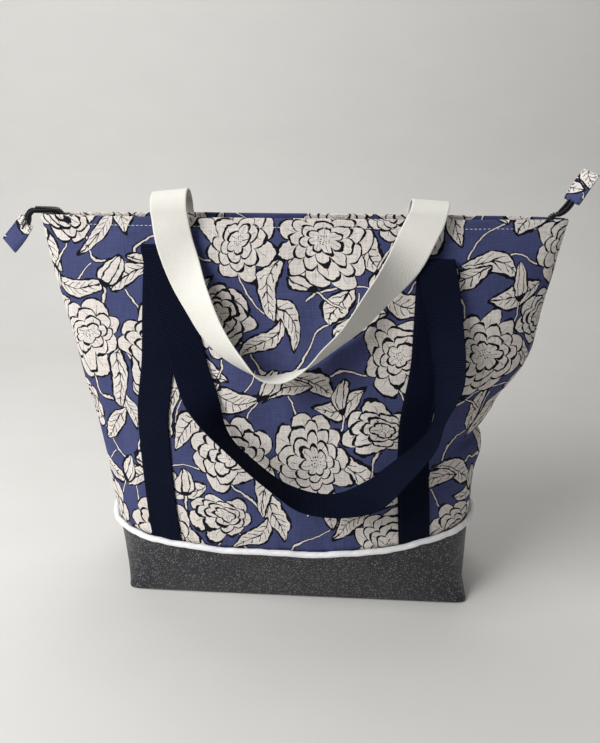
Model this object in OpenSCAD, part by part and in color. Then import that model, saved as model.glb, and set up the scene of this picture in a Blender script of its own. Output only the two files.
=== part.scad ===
// Zip-top knitting bag: printed cotton panels on a vinyl base, two webbing handles, a recessed zip.
// Origin at the middle of the base on the table, X along the width, -Y to the front, Z up, in mm.

/* [Bag body] */
// Height of the top edge above the table
bag_h = 355; // [320:1:400]
// Width across the top corners
top_w = 442; // [420:1:470]
// Depth across the two top edges at the middle
top_d = 26; // [24:1:40]
// Width of the flat base
base_w = 334; // [310:1:350]
// Depth of the flat base
base_d = 119; // [100:1:140]
// Height of the piped seam at the left and the middle
seam_h = 73; // [60:1:95]
// How much higher the piped seam runs at the right side
seam_rise = 12; // [0:1:18]
// Width across the piped seam
seam_w = 370; // [355:1:385]
// Depth across the piped seam
seam_d = 166; // [145:1:175]
// Extra bulge of the panels between the seam and the top
belly = 8; // [0:1:14]
// Depth of the soft dent in the right side
side_dent = 25; // [0:1:32]
// Height of the deepest point of the dent
dent_z = 176; // [160:1:200]
// How far the dent fades out upwards
dent_above = 75; // [60:1:100]
// How far the dent fades out downwards
dent_below = 150; // [110:1:155]

/* [Cloth and stiffening] */
// Thickness of the printed cotton with its fusible backing
panel_t = 0.8; // [0.4:0.1:1.2]
// Thickness of the fleece interlining
interlining_t = 1.6; // [1:0.1:2.4]
// Thickness of the lining
lining_t = 0.6; // [0.4:0.1:1]
// Thickness of the vinyl
vinyl_t = 1.4; // [1:0.1:2]
// Thickness of the board that stiffens the base
board_t = 3; // [2:0.1:4]
// Gap between layers of cloth that lie on each other
layer_gap = 0.3; // [0.2:0.05:0.5]
// Diameter of the covered piping cord
piping_d = 6; // [4:0.1:8]

/* [Handles] */
// Width of the webbing
webbing_w = 30; // [25:1:34]
// Thickness of the webbing
webbing_t = 1.4; // [1:0.1:2]
// Distance from the middle to each leg of the front handle
front_leg_x = 113; // [100:1:120]
// Distance from the middle to each leg of the back handle
back_leg_x = 106; // [98:1:114]
// Height of the front handle's fold below the top edge
fold_below = 24; // [20:1:40]
// Radius of the fold in the front handle, to the middle of the webbing
fold_r = 3.2; // [2.6:0.1:4]
// How far the front loop hangs below its fold
front_drop = 201; // [170:1:210]
// Radius of the arch of the back handle over the top edges
arch_r = 17; // [16:0.5:22]
// Height of the arch's centre above the top edge
arch_above = 3; // [1:0.5:8]
// How far the back loop hangs below the arch's centre
back_drop = 121; // [100:1:140]
// Length of the bar of stitches across a leg
bartack_l = 20; // [12:1:24]

/* [Zip] */
// Depth of the zip below the top edge
zip_recess = 14; // [12:0.5:18]
// Height of the zip tapes above the top edge where they cross the corners
corner_rise = 2.2; // [2:0.1:4]
// Distance from each top corner to the end of the sewn tape
zip_end_gap = 43; // [42:1:60]
// Width of one half of the coil
coil_w = 2.2; // [1.8:0.1:2.6]
// Height of the coil
coil_h = 2.2; // [1.8:0.1:2.6]
// Thickness of the zip tape
tape_t = 0.6; // [0.4:0.1:0.8]
// Width of the tape that slopes down beside the coil
tape_drop = 12; // [10:0.5:14]
// Length of the slider
slider_l = 12; // [10:0.5:14]
// Length of the pull from its pin
pull_l = 24; // [18:1:28]
// Width of the folded cotton tab on each zip end
tab_w = 18; // [14:1:20]
// Thickness of the folded tab
tab_t = 3; // [2:0.1:4]
// Width of the free zip ends
tail_w = 11; // [8:0.5:12]

/* [Hidden] */
$fn = 48;

FRONT = -1;
BACK = 1;
LEFT = -1;
RIGHT = 1;

navy = "#1b2340";
white = "#ecebe5";
cotton = "#5a6299";
slate = "#4a4c55";
zip_black = "#202024";
gunmetal = "#77787c";
fleece = "#f2efe6";
cream = "#d9d4c6";
board_brown = "#8a7a62";

// Corner shape of the outline as a superellipse exponent, at the base, seam, waist and top
base_corner = 14;
seam_corner = 2.8;
waist_corner = 2.1;
top_corner = 2.4;
waist_at = 0.4;
side_seam_gap = 0.1;

fold_z = bag_h - fold_below;
arch_z = bag_h + arch_above;
seam_gap = 0.5;
leg_clear = 0.6;
leg_start = piping_d / 2 + leg_clear;
wall_t = panel_t + interlining_t + lining_t + 2 * layer_gap;
interlining_in = panel_t + layer_gap;
interlining_trim = 2;
lining_in = interlining_in + interlining_t + layer_gap;
board_z = vinyl_t + layer_gap;
floor_z = board_z + board_t + layer_gap;
base_edge_r = 1.5;

// Shape of the walls
function lerp(a, b, t) = a + (b - a) * t;
function clamp01(t) = min(1, max(0, t));
function ease(t) = let (q = clamp01(t)) q * q * (3 - 2 * q);
function unit(v) = v / norm(v);

// Height of the piped seam at a distance s along the cloth from the middle of the panel
function seam_z(s) = seam_h + seam_rise * pow(clamp01(2 * s / top_w), 2);

// Level of a point: 0 at the base, 1 at the seam, 2 at the top edge
function level(s, z) =
    let (seam = seam_z(s))
    z < seam ? z / seam : 1 + (z - seam) / (bag_h - seam);

function dent(z) =
    let (d = z - dent_z, reach = d > 0 ? dent_above : dent_below)
    abs(d) < reach ? side_dent * pow(cos(90 * d / reach), 2) : 0;

function half_width(v, z, right) =
    (v < 1 ? lerp(base_w, seam_w, v) : lerp(seam_w, top_w, v - 1)) / 2 - (right ? dent(z) : 0);

function half_depth(v) =
    v < 1 ? lerp(base_d, seam_d, v) / 2
          : lerp(seam_d, top_d, v - 1) / 2 + belly * sin(180 * (v - 1));

function corner_power(v) =
    v < 1 ? lerp(2 / base_corner, 2 / seam_corner, ease(v))
    : v < 1 + waist_at ? lerp(2 / seam_corner, 2 / waist_corner, ease((v - 1) / waist_at))
    : lerp(2 / waist_corner, 2 / top_corner, ease((v - 1 - waist_at) / (1 - waist_at)));

// One quarter of the outline from the middle of the front to a side, as points and running lengths
outline_steps = 40;
function quarter(a, b, e) =
    [for (i = [0 : outline_steps]) let (p = 90 * i / outline_steps) [a * pow(sin(p), e), b * pow(cos(p), e)]];
function running(q) =
    [for (i = 0, d = 0; i < len(q); i = i + 1, d = i < len(q) ? d + norm(q[i] - q[i - 1]) : d) d];
function column(q, d, axis) = [for (i = [0 : len(q) - 1]) [d[i], q[i][axis]]];

// The two quarters of the outline at one height, each as [points, running lengths]
function quarters(s, z, off) =
    let (v = level(s, z), b = half_depth(v) + off, e = corner_power(v))
    [for (right = [false, true]) let (q = quarter(half_width(v, z, right) + off, b, e)) [q, running(q)]];
function quarter_len(half) = half[1][outline_steps];
function half_len(s, z, off) = let (h = quarters(s, z, off)) (quarter_len(h[0]) + quarter_len(h[1])) / 2;

// Point on the wall at a distance s along the cloth and a height z, moved outwards by off.
// The dent draws the cloth round to the left, less in the middle than at the sides.
middle_share = 0.5;
function wall(s, z, side, off) =
    let (h = quarters(s, z, off),
         left = quarter_len(h[0]),
         right = quarter_len(h[1]),
         share = lerp(middle_share, 1, pow(2 * s / (left + right), 2)),
         d = s + share * (right - left) / 2,
         half = d < 0 ? h[0] : h[1],
         x = lookup(abs(d), column(half[0], half[1], 0)),
         y = lookup(abs(d), column(half[0], half[1], 1)))
    [d < 0 ? -x : x, side * (y + side_seam_gap), z];

// Depth of the wall at a width x and a height z
function depth_at(x, z, off) =
    let (v = level(x, z), a = half_width(v, z, x > 0) + off, n = 2 / corner_power(v))
    (half_depth(v) + off) * pow(1 - pow(min(1, abs(x) / a), n), 1 / n);

// Columns of the cloth grid: the middle, the edges and middle of a handle leg, and on to the side seam
leg_cols = 4;
side_cols = 5;
cols = leg_cols + side_cols;
function leg_x(side) = side == FRONT ? front_leg_x : back_leg_x;
function col_s(i, z, side, off) =
    let (j = abs(i), x = leg_x(side), w = webbing_w / 2)
    sign(i) * (j <= 2 ? (x - w) * j / 2 : j == 3 ? x
        : lerp(x + w, half_len(sign(i) * (x + w), z, off), (j - leg_cols) / side_cols));
function wall_col(i, z, side, off) = wall(col_s(i, z, side, off), z, side, off);

// Nominal distance along the cloth of a column, which sets its seam height
function nominal_s(i, side) = col_s(i, bag_h, side, 0);

// Rows of the cloth grid above the seam: the seam, the foot of a leg, up to the fold, the top edge
leg_rows = 8;
fold_row = leg_rows + 1;
top_row = fold_row + 2;
function panel_z(r, i, side) =
    let (seam = seam_z(nominal_s(i, side)))
    r == 0 ? seam + seam_gap
    : r <= fold_row ? lerp(seam + leg_start, fold_z, (r - 1) / leg_rows)
    : lerp(fold_z, bag_h, (r - fold_row) / (top_row - fold_row));

// Rows of the cloth grid below the seam
base_rows = 5;
function base_z(r, i, side, from) = lerp(from, seam_z(nominal_s(i, side)) - seam_gap, r / base_rows);

// Solid between two matching grids of points, the first on the outside
module sheet(outer, inner, flip) {
    nr = len(outer);
    nc = len(outer[0]);
    points = concat([for (row = outer) each row], [for (row = inner) each row]);
    function at(k, r, c) = k * nr * nc + r * nc + c;
    function quad(a, b, c, d) = [[a, b, c], [a, c, d]];
    faces = concat(
        [for (r = [0 : nr - 2], c = [0 : nc - 2])
            each quad(at(0, r, c), at(0, r + 1, c), at(0, r + 1, c + 1), at(0, r, c + 1))],
        [for (r = [0 : nr - 2], c = [0 : nc - 2])
            each quad(at(1, r, c), at(1, r, c + 1), at(1, r + 1, c + 1), at(1, r + 1, c))],
        [for (c = [0 : nc - 2]) each quad(at(0, 0, c), at(0, 0, c + 1), at(1, 0, c + 1), at(1, 0, c))],
        [for (c = [0 : nc - 2])
            each quad(at(0, nr - 1, c), at(1, nr - 1, c), at(1, nr - 1, c + 1), at(0, nr - 1, c + 1))],
        [for (r = [0 : nr - 2]) each quad(at(0, r, 0), at(1, r, 0), at(1, r + 1, 0), at(0, r + 1, 0))],
        [for (r = [0 : nr - 2])
            each quad(at(0, r, nc - 1), at(0, r + 1, nc - 1), at(1, r + 1, nc - 1), at(1, r, nc - 1))]);
    polyhedron(points, flip ? [for (f = faces) [f[2], f[1], f[0]]] : faces);
}

// Solid swept through rings of an even number of points, closed by a flat strip at each end, between
// the first half of the ring and the second. From the ring back_from on the skin runs back inside the
// first part, and splits its quads to match the skin outside it.
module loft(rings, flip, back_from) {
    nr = len(rings);
    nc = len(rings[0]);
    function halves(a, b, c, d, back) = back ? [[a, b, d], [b, c, d]] : [[a, b, c], [a, c, d]];
    faces = concat(
        [for (r = [0 : nr - 2], c = [0 : nc - 1]) let (d = (c + 1) % nc)
            each halves(r * nc + c, (r + 1) * nc + c, (r + 1) * nc + d, r * nc + d, r >= back_from)],
        [for (c = [0 : nc / 2 - 2]) each halves(c, c + 1, nc - 2 - c, nc - 1 - c, false)],
        [for (c = [0 : nc / 2 - 2]) let (k = (nr - 1) * nc)
            each halves(k + nc - 1 - c, k + nc - 2 - c, k + c + 1, k + c, false)]);
    polyhedron([for (ring = rings) each ring],
        flip ? [for (f = faces) [for (k = [len(f) - 1 : -1 : 0]) f[k]]] : faces);
}

// Printed panel or interlining: cloth from the seam to the top edge
module panel(side, off, thick, top_trim) {
    function grid(depth) =
        [for (r = [0 : top_row]) [for (i = [-cols : cols])
            wall_col(i, panel_z(r, i, side) - (r == top_row ? top_trim : 0), side, depth)]];
    sheet(grid(-off), grid(-off - thick), side == BACK);
}

// Lining: one layer from the floor to the top edge
module lining(side) {
    function lower(depth) =
        [for (r = [0 : base_rows]) [for (i = [-cols : cols])
            wall_col(i, base_z(r, i, side, floor_z), side, depth)]];
    function upper(depth) =
        [for (r = [0 : top_row]) [for (i = [-cols : cols]) wall_col(i, panel_z(r, i, side), side, depth)]];
    function grid(depth) = concat(lower(depth), upper(depth));
    sheet(grid(-lining_in), grid(-lining_in - lining_t), side == BACK);
}

// Ring of wall points right round the bag at one row of the base
function base_ring(r, from, off) = concat(
    [for (i = [-cols : cols]) wall_col(i, base_z(r, i, FRONT, from), FRONT, off)],
    [for (i = [cols : -1 : -cols]) wall_col(i, base_z(r, i, BACK, from), BACK, off)]);

// Vinyl tray with a flat floor and softly rounded lower edge
module vinyl_base() {
    outer = [for (r = [0 : base_rows]) base_ring(r, base_edge_r, 0)];
    inner = [for (r = [base_rows : -1 : 0]) base_ring(r, vinyl_t, -vinyl_t)];
    sole = [for (p = base_ring(0, 0, -base_edge_r)) [p.x, p.y, 0]];
    color(slate) loft(concat([sole], outer, inner), false, len(outer) + 1);
}

module rounded_plate(w, d, t, r) {
    linear_extrude(t)
        difference() {
            square([w, d], center = true);
            for (sx = [-1, 1], sy = [-1, 1])
                translate([sx * w / 2, sy * d / 2])
                    difference() {
                        square(2 * r, center = true);
                        translate([-sx * r, -sy * r]) circle(r);
                    }
        }
}

// Board that keeps the base flat, loose between the vinyl and the lining
board_inset = 4;
board_corner = 26;
floor_inset = 2;
module base_board() {
    color(board_brown)
        translate([0, 0, board_z])
            rounded_plate(base_w - 2 * board_inset, base_d - 2 * board_inset, board_t, board_corner);
}

// Floor of the lining
module base_lining() {
    inset = lining_in + lining_t + floor_inset;
    spread = [seam_w - base_w, seam_d - base_d] * floor_z / seam_h;
    color(cream)
        translate([0, 0, floor_z])
            rounded_plate(base_w + spread.x - 2 * inset, base_d + spread.y - 2 * inset, lining_t, board_corner);
}

// Covered cord in the seam, with the flange that is caught between the panel and the vinyl
flange_t = 0.6;
piping_arc = 157.5;
function piping_profile() =
    let (r = piping_d / 2, mid = r + side_seam_gap, f = flange_t / 2)
    concat([[-panel_t, f], [side_seam_gap / 2, f]],
        [for (a = [piping_arc : -45 : -piping_arc]) [mid + r * cos(a), r * sin(a)]],
        [[side_seam_gap / 2, -f], [-panel_t, -f]]);
module piping(side) {
    rings = [for (i = [-cols : cols])
        let (z = seam_z(nominal_s(i, side)),
             p = wall_col(i, z, side, 0),
             out = abs(i) == cols ? [sign(i), 0, 0] : unit(wall_col(i, z, side, 1) - p))
        [for (q = piping_profile()) p + out * q[0] + [0, 0, q[1]]]];
    color(white) loft(rings, side == FRONT, len(rings));
}

// Leg of a handle, sewn flat on the panel; the back legs run on up to the arch
module leg(side, hand, tint) {
    function lift_z(r, i) = r <= top_row ? panel_z(r, i, side) : arch_z;
    function grid(off) =
        [for (r = [1 : side == FRONT ? fold_row : top_row + 1])
            [for (i = hand == LEFT ? [-4, -3, -2] : [2, 3, 4]) wall_col(i, lift_z(r, i), side, off)]];
    color(tint) sheet(grid(layer_gap + webbing_t), grid(layer_gap), side == BACK);
}

// Bar of dense stitches across the top of each sewn leg
bartack_below = 12;
bartack_h = 3;
bartack_t = 0.6;
module bartack(side, hand) {
    off = 2 * layer_gap + webbing_t;
    function grid(d) =
        [for (z = [fold_z - bartack_below - bartack_h, fold_z - bartack_below])
            [for (k = [-1 : 1]) wall(hand * leg_x(side) + k * bartack_l / 2, z, side, d)]];
    sheet(grid(off + bartack_t), grid(off), side == BACK);
}
module handle_bartacks() {
    color(white)
        for (side = [FRONT, BACK], hand = [LEFT, RIGHT])
            bartack(side, hand);
}

// Half turn of webbing about an axis along X
module half_turn(x, y, z, r) {
    translate([x - webbing_w / 2, y, z])
        rotate([90, 0, 90])
            rotate_extrude(angle = 180)
                translate([r - webbing_t / 2, 0]) square([webbing_t, webbing_w]);
}

// Middle of the webbing on a leg at a height z
function leg_mid(side, z) = abs(wall(leg_x(side), z, side, layer_gap + webbing_t / 2).y);
fold_clear = 0.8;
fold_y = -leg_mid(FRONT, fold_z) - fold_r - fold_clear;
arch_y = leg_mid(BACK, arch_z) - arch_r;

module front_fold(hand) {
    color(navy) half_turn(hand * front_leg_x, fold_y, fold_z, fold_r);
}
module back_arch(hand) {
    color(white) half_turn(hand * back_leg_x, arch_y, arch_z, arch_r);
}

// Loops hang in front of the bag. Each route point is [share of the leg distance, share of the drop,
// distance of the near edge from the panel, turn of the webbing away from the panel in degrees].
front_route = [
    [-1.00, 0.00, 0, 0], [-0.93, 0.20, 1, 3], [-0.75, 0.54, 1, 8], [-0.50, 0.74, 0, 72],
    [-0.18, 0.90, 0, 84], [0.25, 1.00, 0, 72], [0.62, 0.96, 0, 54], [0.95, 0.79, 0, 70],
    [1.10, 0.60, 0, 70], [1.12, 0.40, 0, 30], [1.06, 0.19, 0, 5], [1.00, 0.00, 0, 0]];
back_route = [
    [-1.00, 0.00, 0, 0], [-0.95, 0.20, 2.5, 2], [-0.76, 0.60, 5.5, 8], [-0.50, 0.87, 4, 58],
    [-0.15, 1.00, 2, 86], [0.20, 0.86, 2, 78], [0.50, 0.60, 3, 70], [0.76, 0.36, 5, 42],
    [0.92, 0.14, 2.5, 12], [1.00, 0.00, 0, 0]];
route_steps = 4;
loop_gap = 0.8;
panel_lean = 14;

function route_point(p, i) = p[min(len(p) - 1, max(0, i))];
function route_at(p, i, t) =
    let (a = route_point(p, i - 1), b = route_point(p, i), c = route_point(p, i + 1), d = route_point(p, i + 2))
    (2 * b + (c - a) * t + (2 * a - 5 * b + 4 * c - d) * t * t + (3 * b - a - 3 * c + d) * t * t * t) / 2;
function smooth_route(p) = concat(
    [for (i = [0 : len(p) - 2], k = [0 : route_steps - 1]) route_at(p, i, k / route_steps)], [p[len(p) - 1]]);

// Rings of a ribbon from its middle points, its directions across, and its size
function ribbon_edge(c, across, normal, w, t) =
    [c - across * w / 2 + normal * t / 2, c + across * w / 2 + normal * t / 2];
module ribbon(mid, across, widths, t) {
    n = len(mid);
    function along(i) = unit(mid[min(n - 1, i + 1)] - mid[max(0, i - 1)]);
    function rows(k) =
        [for (i = [0 : n - 1])
            ribbon_edge(mid[i], across[i], unit(cross(along(i), across[i])) * k, widths[i], t)];
    sheet(rows(1), rows(-1), true);
}

// Free loop of a handle from one end above the panel to the other
module handle_loop(route, leg, top_z, drop, start_y, tint) {
    path = smooth_route(route);
    n = len(path);
    out = [0, -cos(panel_lean), sin(panel_lean)];
    start_lift = -start_y - depth_at(leg, top_z, 0);
    mid = [for (p = path)
        let (x = p[0] * leg, z = top_z - loop_gap - p[1] * drop,
             lift = start_lift + p[2] + webbing_w / 2 * sin(p[3]))
        [x, -depth_at(x, z, 0) - lift, z]];
    along = [for (i = [0 : n - 1])
        i == 0 ? [0, 0, -1] : i == n - 1 ? [0, 0, 1] : unit(mid[i + 1] - mid[i - 1])];
    across = [for (i = [0 : n - 1])
        let (flat = unit(cross(along[i], out)), stand = cross(flat, along[i]))
        flat * cos(path[i][3]) + stand * sin(path[i][3])];
    color(tint) ribbon(mid, across, [for (p = path) webbing_w], webbing_t);
}
module front_handle_loop() {
    handle_loop(front_route, front_leg_x, fold_z, front_drop, fold_y - fold_r, navy);
}
module back_handle_loop() {
    handle_loop(back_route, back_leg_x, arch_z, back_drop, arch_y - arch_r, white);
}

// The zip lies level below the top edge. Beyond the sewn part its tapes climb over the side seams.
zip_z = bag_h - zip_recess;
hinge_z = bag_h + corner_rise;
zip_sewn_x = top_w / 2 - zip_end_gap;
zip_past = 4;
zip_end_x = zip_sewn_x + zip_past;
left_overhang = 5;
right_inset = 9;
slider_inset = 4;
left_hinge_x = -(top_w / 2 + left_overhang);
right_hinge_x = top_w / 2 - right_inset;
slider_x = -(zip_sewn_x - slider_inset);
bridge_gap = 1.6;
tape_margin = 0.6;
tape_spread = 2.6;
coil_in = bridge_gap / 2;
coil_out = coil_in + coil_w;
tape_edge = coil_out + tape_margin;
tape_foot = tape_edge + tape_spread;
tape_top = -layer_gap;

// Sweep a profile of [distance from the middle, height above the zip line] along the zip
module along_zip(side, from_x, to_x, profile) {
    translate([from_x, 0, zip_z])
        rotate([90, 0, 90])
            linear_extrude(to_x - from_x)
                polygon([for (p = profile) [side * p[0], p[1]]]);
}

// One tape from its level part up over a corner to the hinge of the free end
climb_l = 17;
climb_in = 1;
climb_steps = 8;
climb_trim = 0.05;
module tape_climb(side, hinge_x) {
    start = zip_end_x - climb_in;
    level_z = zip_z + tape_top - tape_t / 2;
    xs = concat([for (k = [0 : climb_steps]) start + climb_l * k / climb_steps], [abs(hinge_x)]);
    mid = [for (x = xs)
        [sign(hinge_x) * x, side * (coil_in + tape_edge) / 2,
         lerp(level_z, hinge_z, ease((x - start) / climb_l))]];
    width = tape_edge - coil_in - 2 * climb_trim;
    ribbon(mid, [for (x = xs) [0, 1, 0]], [for (x = xs) width], tape_t - 2 * climb_trim);
}
module zip_tape(side) {
    flat_part = [[coil_in, tape_top], [tape_edge, tape_top], [tape_edge, tape_top - tape_t],
        [coil_in, tape_top - tape_t]];
    bend_z = tape_top - tape_t / 4;
    slope = [[tape_edge - tape_t / 2, bend_z], [tape_foot, tape_top - tape_drop],
        [tape_foot - tape_t, tape_top - tape_drop], [tape_edge - 1.5 * tape_t, bend_z]];
    color(zip_black)
        union() {
            along_zip(side, -zip_end_x, zip_end_x, flat_part);
            along_zip(side, -zip_sewn_x, zip_sewn_x, slope);
            tape_climb(side, left_hinge_x);
            tape_climb(side, right_hinge_x);
        }
}
coil_trim = 2;
module zip_coil(side) {
    color(zip_black)
        along_zip(side, coil_trim - zip_end_x, zip_end_x - coil_trim,
            [[coil_in, 0], [coil_out, 0], [coil_out, coil_h], [coil_in, coil_h]]);
}

// Cotton strip that joins the zip tape to the lining
facing_steps = 12;
facing_t = 0.8;
facing_overlap = 2;
facing_reach = 8;
facing_start = tape_drop - facing_overlap;
facing_drop = tape_drop + facing_reach;
module zip_facing(side) {
    xs = [for (k = [0 : facing_steps]) lerp(-zip_sewn_x, zip_sewn_x, k / facing_steps)];
    function grid(dz) =
        [for (x = xs) let (low = zip_z - facing_drop)
            [[x, side * (tape_foot + layer_gap), zip_z - facing_start + dz],
             [x, side * (depth_at(x, low, -wall_t) - 2 * layer_gap), low + dz]]];
    color(cotton) sheet(grid(0), grid(-facing_t), side == BACK);
}

// Place along the zip, level with the line of the coil
module at_zip(x) {
    translate([x, 0, zip_z]) children();
}
module block(from, to) {
    translate(from) cube(to - from);
}

// Slider: cover plate, side flanges, bridge and sole plate round the coil, and two ears with a pin
run = layer_gap;
plate_t = 1.4;
sole_t = 0.8;
side_t = 0.9;
sole_inset = 0.4;
cover_z = coil_h + run;
flange_y = coil_out + run;
slider_w = 2 * (flange_y + side_t);
sole_top = tape_top - tape_t - run;
sole_w = 2 * (coil_out - sole_inset);
bridge_t = bridge_gap - 2 * run;
pin_d = 1.6;
pin_x = -2;
eye_r = 2.2;
pin_z = cover_z + plate_t + eye_r + run;
eye_w = 3.4;
ear_t = 1;
ear_y = eye_w / 2 + run;
module zip_slider() {
    half = slider_l / 2;
    color(gunmetal)
        at_zip(slider_x)
            union() {
                block([-half, -slider_w / 2, cover_z], [half, slider_w / 2, cover_z + plate_t]);
                for (s = [-1, 1]) {
                    block([-half, min(s * flange_y, s * slider_w / 2), run],
                        [half, max(s * flange_y, s * slider_w / 2), cover_z + plate_t]);
                    block([pin_x - pin_d, min(s * ear_y, s * (ear_y + ear_t)), cover_z],
                        [pin_x + pin_d, max(s * ear_y, s * (ear_y + ear_t)), pin_z + pin_d]);
                }
                block([-half, -bridge_t / 2, sole_top - sole_t], [-half / 3, bridge_t / 2, cover_z + plate_t]);
                block([-half, -sole_w / 2, sole_top - sole_t], [half, sole_w / 2, sole_top]);
                translate([pin_x, 0, pin_z])
                    rotate([90, 0, 0])
                        cylinder(h = 2 * ear_y + ear_t, d = pin_d, center = true);
            }
}

// Pull: an eye on the pin, a narrow neck and a flat blade, drooping until its tip lies on the coil
pull_droop = 7;
pull_w = 7;
pull_t = 1.4;
neck_l = 5;
eye_clear = 0.6;
module zip_pull() {
    color(gunmetal)
        at_zip(slider_x)
            translate([pin_x, 0, pin_z]) rotate([0, pull_droop, 0])
                difference() {
                    union() {
                        rotate([90, 0, 0]) cylinder(h = eye_w, r = eye_r, center = true);
                        block([0, -eye_w / 2, -pull_t / 2], [neck_l, eye_w / 2, pull_t / 2]);
                        block([neck_l, -pull_w / 2, -pull_t / 2], [pull_l - pull_w / 2, pull_w / 2, pull_t / 2]);
                        translate([pull_l - pull_w / 2, 0, 0]) cylinder(h = pull_t, d = pull_w, center = true);
                    }
                    rotate([90, 0, 0]) cylinder(h = eye_w + 1, d = pin_d + eye_clear, center = true);
                    translate([pull_l - pull_w / 2, 0, 0]) cylinder(h = pull_t + 1, d = pull_w / 2, center = true);
                }
}

// Free zip ends. Each point is [out from the hinge, up from the hinge, roll in degrees].
tail_t = 0.8;
left_tail = [[0.4, 0, 0], [4, -2.5, 25], [7.5, -8, 50], [12.4, -14.3, 66]];
left_tab = [[12.8, -14.9, 67], [20, -22, 70], [29, -30, 72]];
right_tail = [[0.4, 0.4, 0], [3, 3.4, 25], [5.8, 7, 38], [8.3, 10.8, 36]];
right_tab = [[8.7, 11.5, 36], [14, 22.7, 36], [20.5, 34.2, 36]];
module tail(route, hand, hinge_x, w, t, tint) {
    mid = [for (p = route) [hinge_x + hand * p[0], 0, hinge_z + p[1]]];
    n = len(mid);
    across = [for (i = [0 : n - 1])
        let (along = unit(mid[min(n - 1, i + 1)] - mid[max(0, i - 1)]))
        [0, 1, 0] * cos(route[i][2]) + cross(along, [0, 1, 0]) * hand * sin(route[i][2])];
    color(tint) ribbon(mid, across, [for (p = route) w], t);
}

vinyl_base();
base_board();
base_lining();
piping(FRONT);  // front_piping
piping(BACK);  // back_piping
color(cotton) panel(FRONT, 0, panel_t, 0);  // front_panel
color(cotton) panel(BACK, 0, panel_t, 0);  // back_panel
color(fleece) panel(FRONT, interlining_in, interlining_t, interlining_trim);  // front_interlining
color(fleece) panel(BACK, interlining_in, interlining_t, interlining_trim);  // back_interlining
color(cream) lining(FRONT);  // front_lining
color(cream) lining(BACK);  // back_lining
leg(FRONT, LEFT, navy);  // front_left_leg
leg(FRONT, RIGHT, navy);  // front_right_leg
leg(BACK, LEFT, white);  // back_left_leg
leg(BACK, RIGHT, white);  // back_right_leg
handle_bartacks();
front_fold(LEFT);  // front_left_fold
front_fold(RIGHT);  // front_right_fold
back_arch(LEFT);  // back_left_arch
back_arch(RIGHT);  // back_right_arch
front_handle_loop();
back_handle_loop();
zip_facing(FRONT);  // front_zip_facing
zip_facing(BACK);  // back_zip_facing
zip_tape(FRONT);  // front_zip_tape
zip_tape(BACK);  // back_zip_tape
zip_coil(FRONT);  // front_zip_coil
zip_coil(BACK);  // back_zip_coil
zip_slider();
zip_pull();
tail(left_tail, LEFT, left_hinge_x, tail_w, tail_t, zip_black);  // left_tail_tape
tail(left_tab, LEFT, left_hinge_x, tab_w, tab_t, cotton);  // left_tail_tab
tail(right_tail, RIGHT, right_hinge_x, tail_w, tail_t, zip_black);  // right_tail_tape
tail(right_tab, RIGHT, right_hinge_x, tab_w, tab_t, cotton);  // right_tail_tab
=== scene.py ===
import math

import bmesh
import bpy
import numpy as np
from mathutils import Matrix, Vector


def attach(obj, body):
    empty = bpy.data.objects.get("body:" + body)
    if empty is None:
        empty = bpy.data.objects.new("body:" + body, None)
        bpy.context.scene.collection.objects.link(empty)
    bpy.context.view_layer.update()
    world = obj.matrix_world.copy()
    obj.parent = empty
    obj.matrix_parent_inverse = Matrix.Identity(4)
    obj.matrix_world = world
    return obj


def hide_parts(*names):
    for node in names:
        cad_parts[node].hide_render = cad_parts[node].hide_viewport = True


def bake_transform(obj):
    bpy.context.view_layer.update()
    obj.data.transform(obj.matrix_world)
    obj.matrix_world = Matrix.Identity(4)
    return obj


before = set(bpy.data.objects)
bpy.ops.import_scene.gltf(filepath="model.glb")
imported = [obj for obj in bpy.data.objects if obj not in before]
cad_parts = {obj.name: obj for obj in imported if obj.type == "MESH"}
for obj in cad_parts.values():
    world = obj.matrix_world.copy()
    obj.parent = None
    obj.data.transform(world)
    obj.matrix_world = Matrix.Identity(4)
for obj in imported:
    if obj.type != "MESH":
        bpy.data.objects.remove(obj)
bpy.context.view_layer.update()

# Camera and studio
# The bag stands on a plain pale floor in soft light from the upper left. The camera looks down on it
# a little, from about half a metre in front.
MM = 0.001
LOOK_DOWN, LOOK_LEFT = 23.6, 3.55

camera = bpy.data.objects.new("camera", bpy.data.cameras.new("camera"))
camera.data.sensor_width = 36.0
camera.data.lens = 30.04
camera.location = (0.034, -0.525, 0.443)
camera.rotation_euler = (math.radians(90 - LOOK_DOWN), 0, math.radians(LOOK_LEFT))
camera.data.clip_start = 0.01
bpy.context.collection.objects.link(camera)
scene = bpy.context.scene
scene.camera = camera
scene.view_settings.view_transform = "Standard"


def linear(hex_colour):
    """A linear RGBA colour from an sRGB hex value."""
    parts = [int(hex_colour[i:i + 2], 16) / 255 for i in (1, 3, 5)]
    return [c / 12.92 if c <= 0.04045 else ((c + 0.055) / 1.055) ** 2.4 for c in parts] + [1.0]


def add(tree, kind, inputs=(), operation=None, output=0, **settings):
    """Adds a shader node with its settings and inputs, sockets or values; returns one output, or a few."""
    node = tree.nodes.new("ShaderNode" + kind)
    if operation:
        node.operation = operation
    for name, value in settings.items():
        setattr(node, name, value)
    pairs = inputs.items() if isinstance(inputs, dict) else enumerate(inputs)
    for key, value in pairs:
        if isinstance(value, bpy.types.NodeSocket):
            tree.links.new(value, node.inputs[key])
        elif value is not None:
            node.inputs[key].default_value = value
    if isinstance(output, tuple):
        return [node.outputs[key] for key in output]
    return node.outputs[output] if len(node.outputs) else None


def new_material(name):
    """An empty material and its node tree."""
    made = bpy.data.materials.new(name)
    made.use_nodes = True
    made.node_tree.nodes.clear()
    return made, made.node_tree


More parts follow.
